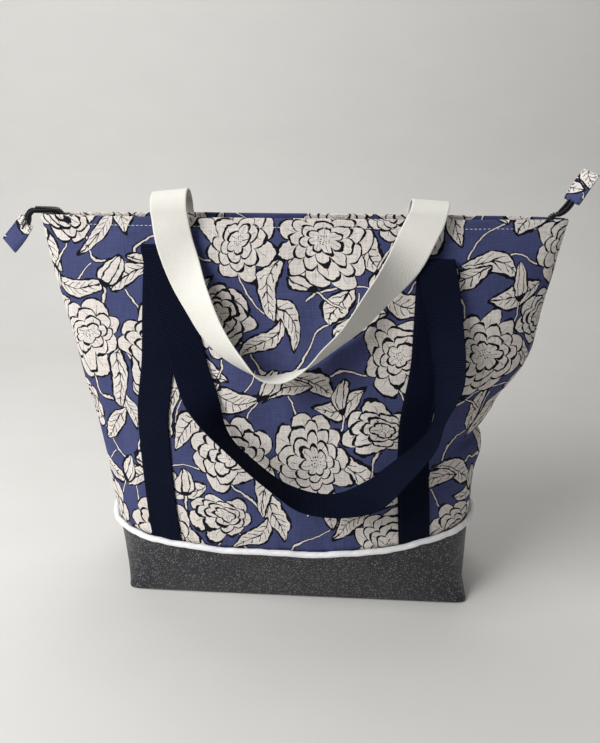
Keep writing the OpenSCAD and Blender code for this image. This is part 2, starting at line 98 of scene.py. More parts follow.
def finish_material(tree, relief=None, **inputs):
    """Ends a material in one surface shader, with a relief if given: its height, strength and depth."""
    named = {key.replace("_", " "): value for key, value in inputs.items()}
    if relief:
        named["Normal"] = add(tree, "Bump", dict(zip(("Height", "Strength", "Distance"), relief)))
    shader = add(tree, "BsdfPrincipled", named)
    add(tree, "OutputMaterial", {"Surface": shader})


def link_piece(name, mesh, material):
    """A smooth object of this mesh and material, linked into the scene."""
    mesh.shade_smooth()
    mesh.materials.append(material)
    made = bpy.data.objects.new(name, mesh)
    bpy.context.collection.objects.link(made)
    return made


# Studio paper: quite matt, a pale warm grey with a barely uneven tint.
paper, tree = new_material("studio_paper")
grain = add(tree, "TexNoise", {"Scale": 60.0, "Detail": 2.0})
tint = add(tree, "MixRGB", [grain, linear("#dcdad6"), linear("#e2e0dc")])
finish_material(tree, Base_Color=tint, Roughness=0.9)

FLOOR_SIZE, FLOOR_DROP = 6.0, 0.4 * MM
WALL_Y = 0.9
SWEEP_R, SWEEP_STEPS = 0.35, 12
profile = [(-FLOOR_SIZE / 2, 0.0)]
for step in range(SWEEP_STEPS + 1):
    a = math.pi / 2 * step / SWEEP_STEPS
    profile.append((WALL_Y - SWEEP_R + SWEEP_R * math.sin(a), SWEEP_R - SWEEP_R * math.cos(a)))
profile.append((WALL_Y, FLOOR_SIZE / 2))
verts = [(x, y, z - FLOOR_DROP) for x in (-FLOOR_SIZE / 2, FLOOR_SIZE / 2) for y, z in profile]
n = len(profile)
sweep = bpy.data.meshes.new("backdrop")
sweep.from_pydata(verts, [], [(i, i + n, i + n + 1, i + 1) for i in range(n - 1)])
backdrop = link_piece("backdrop", sweep, paper)

LAMP_AIM = Vector((0, 0, 0.18))
LAMPS = [
    ("window", (-1.05, -0.7, 1.1), 1.0, 25.0),
    ("fill", (1.3, -1.1, 0.9), 1.4, 1.2),
    ("back_glow", (0.1, 0.55, 1.6), 0.9, 5.0),
]
for name, place, size, power in LAMPS:
    lamp = bpy.data.lights.new(name, "AREA")
    lamp.shape = "DISK"
    lamp.size = size
    lamp.energy = power
    holder = bpy.data.objects.new(name, lamp)
    holder.location = place
    holder.rotation_euler = (LAMP_AIM - Vector(place)).to_track_quat("-Z", "Y").to_euler()
    bpy.context.collection.objects.link(holder)

# The room round the studio gives an even weak light, and is pale where it is seen past the paper.
ROOM_LIGHT, ROOM_SEEN = 0.17, 0.75
world = bpy.data.worlds.new("studio")
world.use_nodes = True
scene.world = world
tree = world.node_tree
tree.nodes.clear()
seen = add(tree, "LightPath")
level = add(tree, "MapRange", [seen, 0.0, 1.0, ROOM_LIGHT, ROOM_SEEN])
room = add(tree, "Background", [linear("#eef0f2"), level])
add(tree, "OutputWorld", [room])

# Vinyl base
# The boxed bottom of the bag, one piece of dark glitter vinyl on a cloth backing. Its sides are folded
# up round a board and sewn to the panels, with the piping caught in the seam.
# Sizes in mm: the bag, its base, the piped seam that rises on the right, and how the cloth bellies out.
BAG_H, TOP_W, TOP_D = 355.0, 442.0, 26.0
BASE_W, BASE_D = 334.0, 119.0
SEAM_H, SEAM_RISE, SEAM_W, SEAM_D = 73.0, 12.0, 370.0, 166.0
RISE_FROM, RISE_OVER = 0.08, 0.68
BELLY = 8.0
# The right side is dented above the base, and the left one is drawn in near the seam.
SIDE_DENT, DENT_Z, DENT_ABOVE, DENT_BELOW = 25.0, 176.0, 75.0, 260.0
DENT_FROM, DENT_FADE = -8.0, 30.0
LEFT_DRAW, DRAW_Z, DRAW_REACH = 5.5, 90.0, 85.0
# How square the outline is at each level: the power of a superellipse, 2 for a plain ellipse.
BASE_CORNER, SEAM_CORNER, WAIST_CORNER, TOP_CORNER = 50.0, 2.8, 2.1, 2.4
BASE_FADE, WAIST_AT = 0.7, 0.4
OUTLINE_STEPS = 49
MIDDLE_SHARE, MIDDLE_GAP = 0.5, 0.1
LEG_EDGE = 128.0
FRONT, BACK = -1, 1
SIDES = ((FRONT, "front"), (BACK, "back"))
VINYL_T = 1.4
SEAM_LAP = 0.5


def mix(a, b, t):
    return a + (b - a) * t


def ease(t):
    q = np.clip(t, 0, 1)
    return q * q * (3 - 2 * q)


def unit(v):
    return v / np.maximum(np.linalg.norm(v, axis=-1, keepdims=True), 1e-9)


def seam_z(s):
    """Height of the piped seam at a distance s along the cloth from the middle."""
    return SEAM_H + SEAM_RISE * ease((2 * s / TOP_W - RISE_FROM) / RISE_OVER)


def outline(s, z, off):
    """Both quarters of the bag's outline at each height, as points and running lengths."""
    seam = seam_z(s)
    v = np.where(z < seam, z / seam, 1 + (z - seam) / (BAG_H - seam))
    up = np.clip(v - 1, 0, 1)
    half_w = np.where(v < 1, mix(BASE_W, SEAM_W, v), mix(SEAM_W, TOP_W, up)) / 2
    half_d = np.where(v < 1, mix(BASE_D, SEAM_D, v), mix(SEAM_D, TOP_D, up)) / 2
    half_d = half_d + BELLY * np.sin(math.pi * up) + off
    waist = mix(2 / SEAM_CORNER, 2 / WAIST_CORNER, ease(up / WAIST_AT))
    upper = np.where(up < WAIST_AT, waist,
                     mix(2 / WAIST_CORNER, 2 / TOP_CORNER, ease((up - WAIST_AT) / (1 - WAIST_AT))))
    power = np.where(v < 1, mix(2 / BASE_CORNER, 2 / SEAM_CORNER, np.clip(v, 0, 1) ** BASE_FADE), upper)
    from_dent = z - DENT_Z
    reach = np.where(from_dent > 0, DENT_ABOVE, DENT_BELOW)
    dent = SIDE_DENT * np.cos(math.pi / 2 * np.clip(from_dent / reach, -1, 1)) ** 2
    dent = dent * ease((z - DENT_FROM) / DENT_FADE)
    draw = LEFT_DRAW * np.exp(-((z - DRAW_Z) / DRAW_REACH) ** 2)
    wave = np.sin(np.linspace(0, math.pi / 2, OUTLINE_STEPS))
    along = wave ** power[..., None]
    depth = half_d[..., None] * wave[::-1] ** power[..., None]
    quarters = []
    for half in (half_w - draw, half_w - dent):
        points = np.stack([(half + off)[..., None] * along, depth], -1)
        steps = np.linalg.norm(np.diff(points, axis=-2), axis=-1)
        run = np.concatenate([np.zeros(steps.shape[:-1] + (1,)), np.cumsum(steps, -1)], -1)
        quarters.append((points, run))
    return quarters


def wall(s, z, side, off):
    """Points on the bag's wall at distances s along the cloth and heights z, moved outwards by off."""
    s, z, off = np.broadcast_arrays(*[np.asarray(q, float) for q in (s, z, off)])
    left, right = outline(s, z, off)
    left_len, right_len = left[1][..., -1], right[1][..., -1]
    share = mix(MIDDLE_SHARE, 1, (2 * s / (left_len + right_len)) ** 2)
    d = s + share * (right_len - left_len) / 2
    found = []
    for points, run in (left, right):
        reach = np.clip(np.abs(d), 0, run[..., -1])
        i = np.clip((run < reach[..., None]).sum(-1) - 1, 0, run.shape[-1] - 2)[..., None]
        low, high = np.take_along_axis(run, i, -1), np.take_along_axis(run, i + 1, -1)
        t = (reach[..., None] - low) / np.maximum(high - low, 1e-9)
        a = np.take_along_axis(points, i[..., None], -2)[..., 0, :]
        b = np.take_along_axis(points, i[..., None] + 1, -2)[..., 0, :]
        found.append(mix(a, b, t))
    xy = np.where((d < 0)[..., None], found[0] * [-1, 1], found[1])
    return np.stack([xy[..., 0], side * (xy[..., 1] + MIDDLE_GAP), z], -1)


def at_share(f, z, side, off):
    """As wall(), but across the cloth by share, so that -1 and 1 are always the side seams."""
    f, z, off = np.broadcast_arrays(*[np.asarray(q, float) for q in (f, z, off)])
    nominal = np.abs(f) * TOP_W / 2
    left, right = outline(np.sign(f) * LEG_EDGE, z, off)
    half_len = (left[1][..., -1] + right[1][..., -1]) / 2
    beyond = (nominal - LEG_EDGE) / (TOP_W / 2 - LEG_EDGE)
    s = np.sign(f) * np.where(nominal < LEG_EDGE, nominal, mix(LEG_EDGE, half_len, beyond))
    return wall(s, z, side, off)


def ripple(x, seed):
    """A soft uneven wave between about -1 and 1, the same on every run."""
    return (np.sin(x + 1.7 * seed) + 0.6 * np.sin(1.83 * x + 4.1 * seed) + 0.4 * np.sin(3.1 * x + seed)) / 2


def quads(rows, cols, closed):
    """Faces of a grid of points that are numbered row by row. A closed row is a ring."""
    corners = ((0, 0), (0, 1), (1, 1), (1, 0))
    return [tuple((r + down) * cols + (c + over) % cols for down, over in corners)
            for r in range(rows - 1) for c in range(cols if closed else cols - 1)]


def grid_piece(name, points, material, uv=None, thick=0.0, closed=False):
    """A mesh object through rows of points in mm, with UVs in metres, made thick inwards if asked."""
    rows, cols = points.shape[:2]
    mesh = bpy.data.meshes.new(name)
    mesh.from_pydata((points.reshape(-1, 3) * MM).tolist(), [], quads(rows, cols, closed))
    if uv is not None:
        layer = mesh.uv_layers.new(name="cloth")
        loops = np.zeros(len(mesh.loops), int)
        mesh.loops.foreach_get("vertex_index", loops)
        layer.data.foreach_set("uv", (uv.reshape(-1, 2) * MM)[loops].ravel())
    if closed:
        shell = bmesh.new()
        shell.from_mesh(mesh)
        bmesh.ops.holes_fill(shell, edges=shell.edges, sides=cols)
        bmesh.ops.recalc_face_normals(shell, faces=shell.faces)
        shell.to_mesh(mesh)
        shell.free()
    made = link_piece(name, mesh, material)
    if thick:
        solid = made.modifiers.new("thickness", "SOLIDIFY")
        solid.thickness = thick * MM
        solid.offset = -1
    return made


# Glitter vinyl: a dark grey plastic film, slightly glossy, with fine bright flakes under it. Flakes of
# half a millimetre are drawn one and a half times as large, so that they show.
FLAKE = 0.75 * MM
vinyl, tree = new_material("glitter_vinyl")
place = add(tree, "TexCoord", output="Object")
flakes = add(tree, "TexVoronoi", {"Vector": place, "Scale": 1 / FLAKE}, output="Color")
lit_flakes, dark_flakes = add(tree, "SeparateColor", [flakes], output=(0, 1))
lit_flakes = add(tree, "MapRange", [lit_flakes, 0.87, 1.0, 0.0, 1.0])
cloud = add(tree, "TexNoise", {"Vector": place, "Scale": 22.0, "Detail": 3.0})
film = add(tree, "MixRGB", [dark_flakes, linear("#131216"), linear("#222024")])
haze = add(tree, "MapRange", [cloud, 0.35, 0.7, 0.0, 0.4])
film = add(tree, "MixRGB", [haze, film, linear("#2e2d33")])
film = add(tree, "MixRGB", [lit_flakes, film, linear("#a2a2ae")])
rough = add(tree, "MapRange", [cloud, 0.3, 0.7, 0.34, 0.52])
finish_material(tree, (lit_flakes, 0.25, 0.3 * MM), Base_Color=film, Roughness=rough, IOR=1.53,
                Specular_IOR_Level=0.4)

shares = np.linspace(-1, 1, 181)
wall_steps = np.linspace(0, 1, 25)
EDGE_R = 2.2
edge_turns = np.radians(np.linspace(90, 0, 6))[1:]
VINYL_BULGE, VINYL_RIPPLE = 0.9, 0.5
VINYL_TUCK, TUCK_SHARE = 1.2, 0.05


def vinyl_wall(side):
    """One side of the base from the seam down and round its lower edge, as rows of points."""
    rows = []
    for t in wall_steps:
        z = mix(seam_z(shares * TOP_W / 2) - SEAM_LAP, EDGE_R, t)
        slack = np.sin(math.pi * np.clip(t * 1.1, 0, 1)) * (1 - np.abs(shares) ** 8)
        bulge = VINYL_BULGE * ripple(shares * 9 + side, 1.0) + VINYL_RIPPLE * ripple(shares * 23 + 3 * t, 2.0)
        tuck = -VINYL_TUCK * np.exp(-(t / TUCK_SHARE) ** 2)
        rows.append(at_share(shares, z, side, slack * bulge + tuck))
    for a in edge_turns:
        inset = EDGE_R * (1 - math.sin(a))
        rows.append(at_share(shares, EDGE_R - EDGE_R * math.cos(a) + shares * 0, side, -inset))
    return np.array(rows)


front_rows, back_rows = vinyl_wall(FRONT), vinyl_wall(BACK)[::-1]
sole = np.array([mix(front_rows[-1], back_rows[0], t) for t in np.linspace(0, 1, 9)[1:-1]])
tray_rows = np.concatenate([front_rows, sole, back_rows])[::-1]
tray = grid_piece("vinyl_base_shell", tray_rows, vinyl, thick=VINYL_T)
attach(tray, "bag")
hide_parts("vinyl_base")

# Base board
# A loose rectangle of pressed board between the vinyl and the lining, which keeps the base flat.


def mottled(name, grain, detail, shades, roughness, relief=(), **inputs):
    """A material in two shades and two degrees of gloss, mixed by a noise of this grain in metres."""
    made, tree = new_material(name)
    place = add(tree, "TexCoord", output="Object")
    noise = add(tree, "TexNoise", {"Vector": place, "Scale": 1 / grain, "Detail": detail})
    colour = add(tree, "MixRGB", [noise, *map(linear, shades)])
    rough = add(tree, "MapRange", [noise, 0.3, 0.7, *roughness])
    finish_material(tree, relief and (noise, *relief), Base_Color=colour, Roughness=rough, **inputs)
    return made


# Pressed board: brown pulp with short fibres, quite matt.
FIBRE = 1.2 * MM
board = mottled("pressed_board", FIBRE, 3.0, ("#857558", "#a08e70"), (0.9, 0.9))
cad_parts["base_board"].data.materials.clear()
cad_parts["base_board"].data.materials.append(board)

# Piping
# A cotton cord wrapped in a bias strip of white cotton, caught in the seam between the panels and the
# base. The strip puckers a little along its length.
PIPING_R, PIPING_OUT = 2.7, 2.2
PIPING_WAVE, PIPING_LIFT, PIPING_PUFF = 1.0, 0.35, 0.06

# White cotton: a plain matt weave, slightly warm, with the slanting puckers of a bias strip, and painted
# shade that makes it a touch greyer in the hollows of the puckers. A wave texture of scale 1 repeats about
# every 0.31 m.
WAVE_PERIOD = 0.31
PUCKER = 5.0 * MM
THREAD = 0.9 * MM
piping_cotton, tree = new_material("white_bias_cotton")
cloth_uv = add(tree, "UVMap", uv_map="cloth")
puckers = add(tree, "TexWave", {"Vector": cloth_uv, "Scale": WAVE_PERIOD / PUCKER, "Distortion": 3.0,
                                "Detail": 1.0}, output=1, bands_direction="DIAGONAL")
weave = add(tree, "TexNoise", {"Vector": cloth_uv, "Scale": 1 / THREAD, "Detail": 1.0})
height = add(tree, "Math", [weave, 0.25, puckers], "MULTIPLY_ADD")
# Painted shade: the colour follows the puckers, paler on their crests and greyer in their hollows.
shade = add(tree, "MixRGB", [puckers, linear("#f1f0f2"), linear("#f9f9fa")])
finish_material(tree, (height, 0.18, 0.6 * MM), Base_Color=shade, Roughness=0.85)


def running_length(path):
    """Distance along a path to each of its points."""
    return np.concatenate([[0], np.cumsum(np.linalg.norm(np.diff(path, axis=0), axis=1))])


def sample(at, run, rows):
    """Rows of numbers that belong to these running lengths, at other lengths."""
    return np.stack([np.interp(at, run, column) for column in rows.T], -1)


def tube(name, path, side_dirs, radius, material, sides=12):
    """A round tube along a path in mm, with one direction across it at each point."""
    along = unit(np.gradient(path, axis=0))
    across = unit(side_dirs - along * (side_dirs * along).sum(-1, keepdims=True))
    third = np.cross(along, across)
    angle = np.linspace(0, 2 * math.pi, sides, endpoint=False)
    radius = np.broadcast_to(np.asarray(radius, float), (len(path),))
    ring = (across[:, None] * np.cos(angle)[:, None] + third[:, None] * np.sin(angle)[:, None])
    points = path[:, None] + ring * radius[:, None, None]
    uv = np.stack(np.broadcast_arrays(running_length(path)[:, None], angle * radius.mean()), -1)
    return grid_piece(name, points, material, uv, closed=True)


for side, label in SIDES:
    fine = np.linspace(-1, 1, 361)
    seam = seam_z(fine * TOP_W / 2) + PIPING_WAVE * ripple(fine * 19, 3.0 + side)
    lift = PIPING_OUT + PIPING_LIFT * ripple(fine * 34, 5.0)
    path = at_share(fine, seam, side, lift)
    out = unit(at_share(fine, seam, side, lift + 1) - path)
    puffed = PIPING_R * (1 + PIPING_PUFF * ripple(fine * 60, 2.0))
    cord = tube(label + "_piping_strip", path, out, puffed, piping_cotton)
    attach(cord, "bag")
    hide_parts(label + "_piping")

# Front and back panels
# Printed cotton with a fused backing, cut as one straight panel each for the front and the back and
# sewn together at the side seams. The top edge is turned in and stitched down.
HEM_R = 1.5
STITCH_BELOW = 7.0
FOLD_BLUNT = 0.2


def fold_line(f, z, start, end, width, height):
    """A straight soft fold in the cloth between two places, each a share and a height."""
    a, b = np.array(start) * [TOP_W / 2, 1], np.array(end) * [TOP_W / 2, 1]
    d = b - a
    px, pz = f * TOP_W / 2 - a[0], z - a[1]
    t = np.clip((px * d[0] + pz * d[1]) / (d @ d), 0, 1)
    away = np.hypot(px - t * d[0], pz - t * d[1])
    return height * np.exp(-(away / width) ** 2) * np.sin(math.pi * mix(FOLD_BLUNT, 1, t))


# Each fold is a start, an end, a width and a height in mm, out from the panel. The folds by the dented
# side are on the front alone.
DENT_FOLDS = [
    ((1.40, 175), (0.68, 164), 6, -9.0), ((1.30, 192), (0.66, 186), 9, 3.0),
    ((1.25, 150), (0.72, 143), 11, 3.5), ((0.95, 215), (0.72, 255), 14, 2.0),
]
PANEL_FOLDS = [
    ((-0.92, 300), (-0.76, 150), 14, 2.0), ((-0.70, 190), (-0.74, 90), 9, -2.0),
    ((-0.35, 330), (-0.12, 180), 18, 3.4), ((0.05, 320), (0.18, 140), 16, -3.2),
    ((0.30, 200), (0.36, 90), 12, 2.6), ((-0.20, 170), (-0.28, 84), 12, 2.4),
    ((-0.02, 140), (0.06, 84), 10, 2.0), ((0.44, 300), (0.40, 220), 13, 2.4),
]
# Heights of the small waves, puckers and tucks of a panel, and how far each of them reaches, in mm.
SOFT_WAVE, SOFT_RIPPLE, SOFT_FROM_SEAM = 1.4, 0.7, 60.0
FIRM_SHARE, FIRM_FROM, FIRM_OVER = 0.6, 300.0, 40.0
SEAM_PUCKER, PUCKER_REACH = 0.8, 16.0
SEAM_TUCK, TUCK_REACH = 1.6, 2.5
SIDE_TUCK, SIDE_REACH = 1.0, 2.2
STITCH_DIP, DIP_REACH = 0.5, 1.2
HEM_PLUMP, HEM_OVER = 0.45, 3.0
TOP_WAVE, TOP_FROM, TOP_OVER = 0.8, 310.0, 40.0


def rumple(f, z, side):
    """How far the panel stands out from its plain shape, in mm."""
    f, z = np.broadcast_arrays(np.asarray(f, float), np.asarray(z, float))
    above = np.clip(z - seam_z(f * TOP_W / 2), 0, None)
    below_top = BAG_H - z
    from_side = (1 - np.abs(f)) * TOP_W / 2
    soft = SOFT_WAVE * ripple(f * 5 + z / 60, 1.0 + side) + SOFT_RIPPLE * ripple(f * 13 - z / 35, 2.0 + side)
    soft = soft * ease(above / SOFT_FROM_SEAM) * (1 - FIRM_SHARE * ease((z - FIRM_FROM) / FIRM_OVER))
    pucker = SEAM_PUCKER * ripple(f * 46, 4.0 + side) * np.exp(-above / PUCKER_REACH)
    tuck = -SEAM_TUCK * np.exp(-(above / TUCK_REACH) ** 2)
    side_seam = -SIDE_TUCK * np.exp(-(from_side / SIDE_REACH) ** 2)
    stitch = -STITCH_DIP * np.exp(-((below_top - STITCH_BELOW) / DIP_REACH) ** 2)
    hem = HEM_PLUMP * ease((STITCH_BELOW + HEM_R - below_top) / HEM_OVER)
    top_wave = TOP_WAVE * ripple(f * 11, 6.0 + side) * ease((z - TOP_FROM) / TOP_OVER)
    total = soft + pucker + tuck + side_seam + stitch + hem + top_wave
    for start, end, width, height in DENT_FOLDS + PANEL_FOLDS if side == FRONT else PANEL_FOLDS:
        total = total + fold_line(f, z, start, end, width, height)
    return total


def cloth(s, z, side, off):
    """A point on the rumpled panel, off mm out from it, near the middle of the bag."""
    return wall(s, z, side, off + rumple(np.asarray(s, float) / (TOP_W / 2), z, side))


# Printed quilting cotton: a flat matt weave with a printed floral, cream with dark line work on blue.
# The print is drawn from its own repeat, with real sizes in mm. The weave is drawn coarse, to show.
REPEAT_W, REPEAT_H = 138.0, 176.0
LINE, VEIN, STEM, STEM_EDGE = 0.9, 0.45, 0.7, 1.6
BLUE, BLUE_DEEP, CREAM, INK = linear("#505785"), linear("#474d78"), linear("#f4ece5"), linear("#0e0f1c")
cotton, tree = new_material("printed_cotton")
cloth_uv = add(tree, "UVMap", uv_map="cloth")
millimetres = add(tree, "VectorMath", [cloth_uv, (1000, 1000, 0)], "MULTIPLY")
# A line that is drawn by hand wavers, and the whole layout sways more widely.
drawn = millimetres
for pace, detail, far in ((0.11, 2.0, 5.0), (0.024, 0.0, 26.0)):
    shift = add(tree, "TexNoise", {"Vector": millimetres, "Scale": pace, "Detail": detail}, output=1)
    shift = add(tree, "VectorMath", [shift, (0.5, 0.5, 0.5)], "SUBTRACT")
    drawn = add(tree, "VectorMath", [shift, (far, far, 0), drawn], "MULTIPLY_ADD")
print_s, print_t = add(tree, "SeparateXYZ", [drawn], output=(0, 1))
# The brush presses harder in some places than in others.
pressure = add(tree, "TexNoise", {"Vector": millimetres, "Scale": 0.14, "Detail": 1.0})
brush_line = add(tree, "MapRange", [pressure, 0.3, 0.7, 0.5 * LINE, 1.6 * LINE])
brush_vein = add(tree, "MapRange", [pressure, 0.3, 0.7, 0.5 * VEIN, 1.7 * VEIN])


def motif_place(at, turn):
    """The print's coordinates about the nearest copy of a motif in the half-drop repeat, also apart."""
    ds = add(tree, "Math", [print_s, at[0]], "SUBTRACT")
    column = add(tree, "Math", [ds, 1 / REPEAT_W], "MULTIPLY")
    column = add(tree, "Math", [column], "ROUND")
    u = add(tree, "Math", [column, -REPEAT_W, ds], "MULTIPLY_ADD")
    dt = add(tree, "Math", [print_t, at[1]], "SUBTRACT")
    dropped = add(tree, "Math", [column, -REPEAT_H / 2, dt], "MULTIPLY_ADD")
    v = add(tree, "Math", [dropped, REPEAT_H / 2, -REPEAT_H / 2], "WRAP")
    flat = add(tree, "CombineXYZ", [u, v, 0.0])
    spot = add(tree, "VectorRotate", {"Vector": flat, "Angle": -math.radians(turn)}, rotation_type="Z_AXIS")
    return spot, *add(tree, "SeparateXYZ", [spot], output=(0, 1))


def print_over(ground, colour, *measures):
    """The print with a colour added wherever each of these measures is below its limit."""
    mask = 1.0
    for value, limit in measures:
        below = add(tree, "Math", [value, limit], "LESS_THAN")
        mask = add(tree, "Math", [mask, below], "MULTIPLY")
    return add(tree, "MixRGB", [mask, ground, colour])


# How round a petal is, and its veins: their pitch and their place inside the edge, as shares.
PETAL_ROUND, PETAL_VEINS, VEINS_START = 0.55, 0.42, 0.14


def petal_ring(ground, reach, angle, radius, petals, turn, dip):
    """One layer of rounded petals: a cream fill, its outline and short veins up each petal."""
    phase = add(tree, "Math", [angle, petals / 2, turn], "MULTIPLY_ADD")
    lobe = add(tree, "Math", [phase], "COSINE")
    lobe = add(tree, "Math", [lobe], "ABSOLUTE")
    lobe = add(tree, "Math", [lobe, PETAL_ROUND], "POWER")
    edge = add(tree, "Math", [lobe, radius * dip, radius * (1 - dip)], "MULTIPLY_ADD")
    inside = add(tree, "Math", [reach, edge], "SUBTRACT")
    rim = add(tree, "Math", [inside], "ABSOLUTE")
    vein = add(tree, "Math", [phase], "SINE")
    vein = add(tree, "Math", [vein, reach], "MULTIPLY")
    vein = add(tree, "Math", [vein, radius * PETAL_VEINS], "PINGPONG")
    ground = print_over(ground, CREAM, (inside, 0.0))
    ground = print_over(ground, INK, (vein, brush_vein), (inside, -radius * VEINS_START))
    return print_over(ground, INK, (rim, brush_line))


# The flower's middle as a share of its radius, and the pitch and size of its dots.
MIDDLE, SEED_PITCH, SEED = 0.15, 2.0, 0.3


def rosette(ground, at, radius, petals, turn):
    """An open flower seen from above: four rings of petals round a dotted middle."""
    spot, u, v = motif_place(at, turn)
    reach = add(tree, "VectorMath", [spot], "LENGTH", output=1)
    angle = add(tree, "Math", [v, u], "ARCTAN2")
    for share, lobes, start, dip in ((1.0, petals, 0.0, 0.24), (0.76, petals, math.pi / 2, 0.26),
                                     (0.54, petals - 2, 0.4, 0.3), (0.34, petals - 3, 1.2, 0.34)):
        ground = petal_ring(ground, reach, angle, radius * share, lobes, start, dip)
    seeds = add(tree, "TexVoronoi", {"Vector": spot, "Scale": 1 / SEED_PITCH, "Randomness": 0.3})
    ground = print_over(ground, CREAM, (reach, radius * MIDDLE))
    return print_over(ground, INK, (reach, radius * MIDDLE), (seeds, SEED))


def pointed_oval(at, length, width, turn, curl=0.0):
    """Measures of a pointed oval: along it, its half width, off its middle line and past its edge."""
    _, u, v = motif_place(at, turn)
    square = add(tree, "Math", [u, u], "MULTIPLY")
    bent = add(tree, "Math", [square, curl / (length * length), v], "MULTIPLY_ADD")
    half = add(tree, "Math", [square, -width / (length * length), width], "MULTIPLY_ADD")
    aside = add(tree, "Math", [bent], "ABSOLUTE")
    return u, half, aside, add(tree, "Math", [aside, half], "SUBTRACT")


def oval_outline(ground, u, past, length):
    """The print with the outline of a pointed oval."""
    rim = add(tree, "Math", [past], "ABSOLUTE")
    reach = add(tree, "Math", [u], "ABSOLUTE")
    return print_over(ground, INK, (rim, brush_line), (reach, length))


# Side veins of a leaf: their slant, their pitch in mm and their place inside the edge, as a share.
RIB_SLANT, RIB_PITCH, RIBS_START = 1.1, 3.4, 0.28


def leaf(ground, at, length, width, turn, curl):
    """A curved pointed leaf with an outline, a midrib and slanting side veins."""
    u, _, aside, past = pointed_oval(at, length, width, turn, curl)
    ribs = add(tree, "Math", [aside, RIB_SLANT, u], "MULTIPLY_ADD")
    ribs = add(tree, "Math", [ribs, RIB_PITCH], "PINGPONG")
    ground = print_over(ground, CREAM, (past, 0.0))
    ground = print_over(ground, INK, (ribs, brush_vein), (past, -width * RIBS_START))
    ground = print_over(ground, INK, (aside, brush_vein), (past, 0.0))
    return oval_outline(ground, u, past, length)


# Shares of a bud: the middle of its stalk, its petal edges and the top of its cup.
STALK_AT, BUD_PETAL, CUP_TOP = 1.5, 0.42, 0.62


def bud(ground, at, length, width, turn):
    """A closed pointed bud with two petal edges, in a dark cup on a short stalk."""
    u, half, aside, past = pointed_oval(at, length, width, turn)
    below = add(tree, "Math", [u, length * STALK_AT], "ADD")
    below = add(tree, "Math", [below], "ABSOLUTE")
    petal = add(tree, "Math", [half, -BUD_PETAL, aside], "MULTIPLY_ADD")
    petal = add(tree, "Math", [petal], "ABSOLUTE")
    ground = print_over(ground, INK, (aside, STEM_EDGE), (below, length))
    ground = print_over(ground, CREAM, (aside, STEM), (below, length))
    ground = print_over(ground, CREAM, (past, 0.0))
    ground = print_over(ground, INK, (petal, brush_vein), (past, 0.0))
    ground = print_over(ground, INK, (u, -CUP_TOP * length), (past, 0.0))
    return oval_outline(ground, u, past, length)


def stem(ground, at, length, sway, turn):
    """A thin curved stem with dark edges."""
    _, u, v = motif_place(at, turn)
    swing = add(tree, "Math", [u, math.pi / length], "MULTIPLY")
    swing = add(tree, "Math", [swing], "SINE")
    away = add(tree, "Math", [swing, sway, v], "MULTIPLY_ADD")
    away = add(tree, "Math", [away], "ABSOLUTE")
    reach = add(tree, "Math", [u], "ABSOLUTE")
    ground = print_over(ground, INK, (away, STEM_EDGE), (reach, length))
    return print_over(ground, CREAM, (away, STEM), (reach, length))


fading = add(tree, "TexNoise", {"Vector": millimetres, "Scale": 0.03, "Detail": 2.0})
picture = add(tree, "MixRGB", [fading, BLUE_DEEP, BLUE])
for at, length, sway, turn in (((34, 44), 46, 9, 62), ((104, 20), 40, 8, 118), ((70, 88), 50, 11, 20),
                               ((10, 130), 40, 7, 96), ((112, 120), 36, 8, 150), ((60, 20), 34, 7, 200)):
    picture = stem(picture, at, length, sway, turn)
for at, length, width, turn, curl in (((66, 62), 28, 10, 40, 7), ((4, 64), 27, 10, 118, -7),
                                      ((100, 84), 28, 10, 165, 7), ((56, 168), 27, 9.5, 20, -6),
                                      ((128, 2), 26, 9.5, 78, 6), ((70, 116), 24, 9, 128, 6),
                                      ((30, 16), 25, 9.5, 160, -6), ((122, 132), 24, 9, 48, -5),
                                      ((44, 72), 22, 8.5, 84, 5), ((8, 6), 22, 8.5, 30, 5)):
    picture = leaf(picture, at, length, width, turn, curl)
for at, length, width, turn in (((56, 2), 15, 8, 100), ((132, 94), 15, 8, 62), ((18, 88), 14, 7.5, 150),
                                ((76, 92), 14, 7.5, 250)):
    picture = bud(picture, at, length, width, turn)
for at, radius, petals, turn in (((34, 122), 37, 10, 8), ((102, 38), 35, 8, 25), ((88, 150), 26, 7, 50)):
    picture = rosette(picture, at, radius, petals, turn)

# Uneven threads show as faint streaks along the cloth and across it.
for streak in ((0.06, 0.9, 0), (0.9, 0.06, 0)):
    stretched = add(tree, "VectorMath", [millimetres, streak], "MULTIPLY")
    slubs = add(tree, "TexNoise", {"Vector": stretched, "Scale": 1.0, "Detail": 1.0})
    slubs = add(tree, "MapRange", [slubs, 0.3, 0.7, 0.0, 1.0])
    slub_shade = add(tree, "MixRGB", [slubs, linear("#e7e7e7"), linear("#ffffff")])
    picture = add(tree, "MixRGB", [1.0, picture, slub_shade], blend_type="MULTIPLY")

WEAVE = 1.1 * MM


def plain_weave(tree, cloth_uv, pitch):
    """Threads that cross each other, this far apart in metres."""
    bands = [add(tree, "TexWave", {"Vector": cloth_uv, "Scale": WAVE_PERIOD / pitch}, output=1,
                 bands_direction=axis) for axis in "XY"]
    return add(tree, "Math", bands, "MULTIPLY")


threads = plain_weave(tree, cloth_uv, WEAVE)
creases = add(tree, "TexNoise", {"Vector": millimetres, "Scale": 0.05, "Detail": 4.0, "Roughness": 0.6})
height = add(tree, "Math", [creases, 5.0, threads], "MULTIPLY_ADD")
finish_material(tree, (height, 0.35, 0.6 * MM), Base_Color=picture, Roughness=0.85, Specular_IOR_Level=0.2)

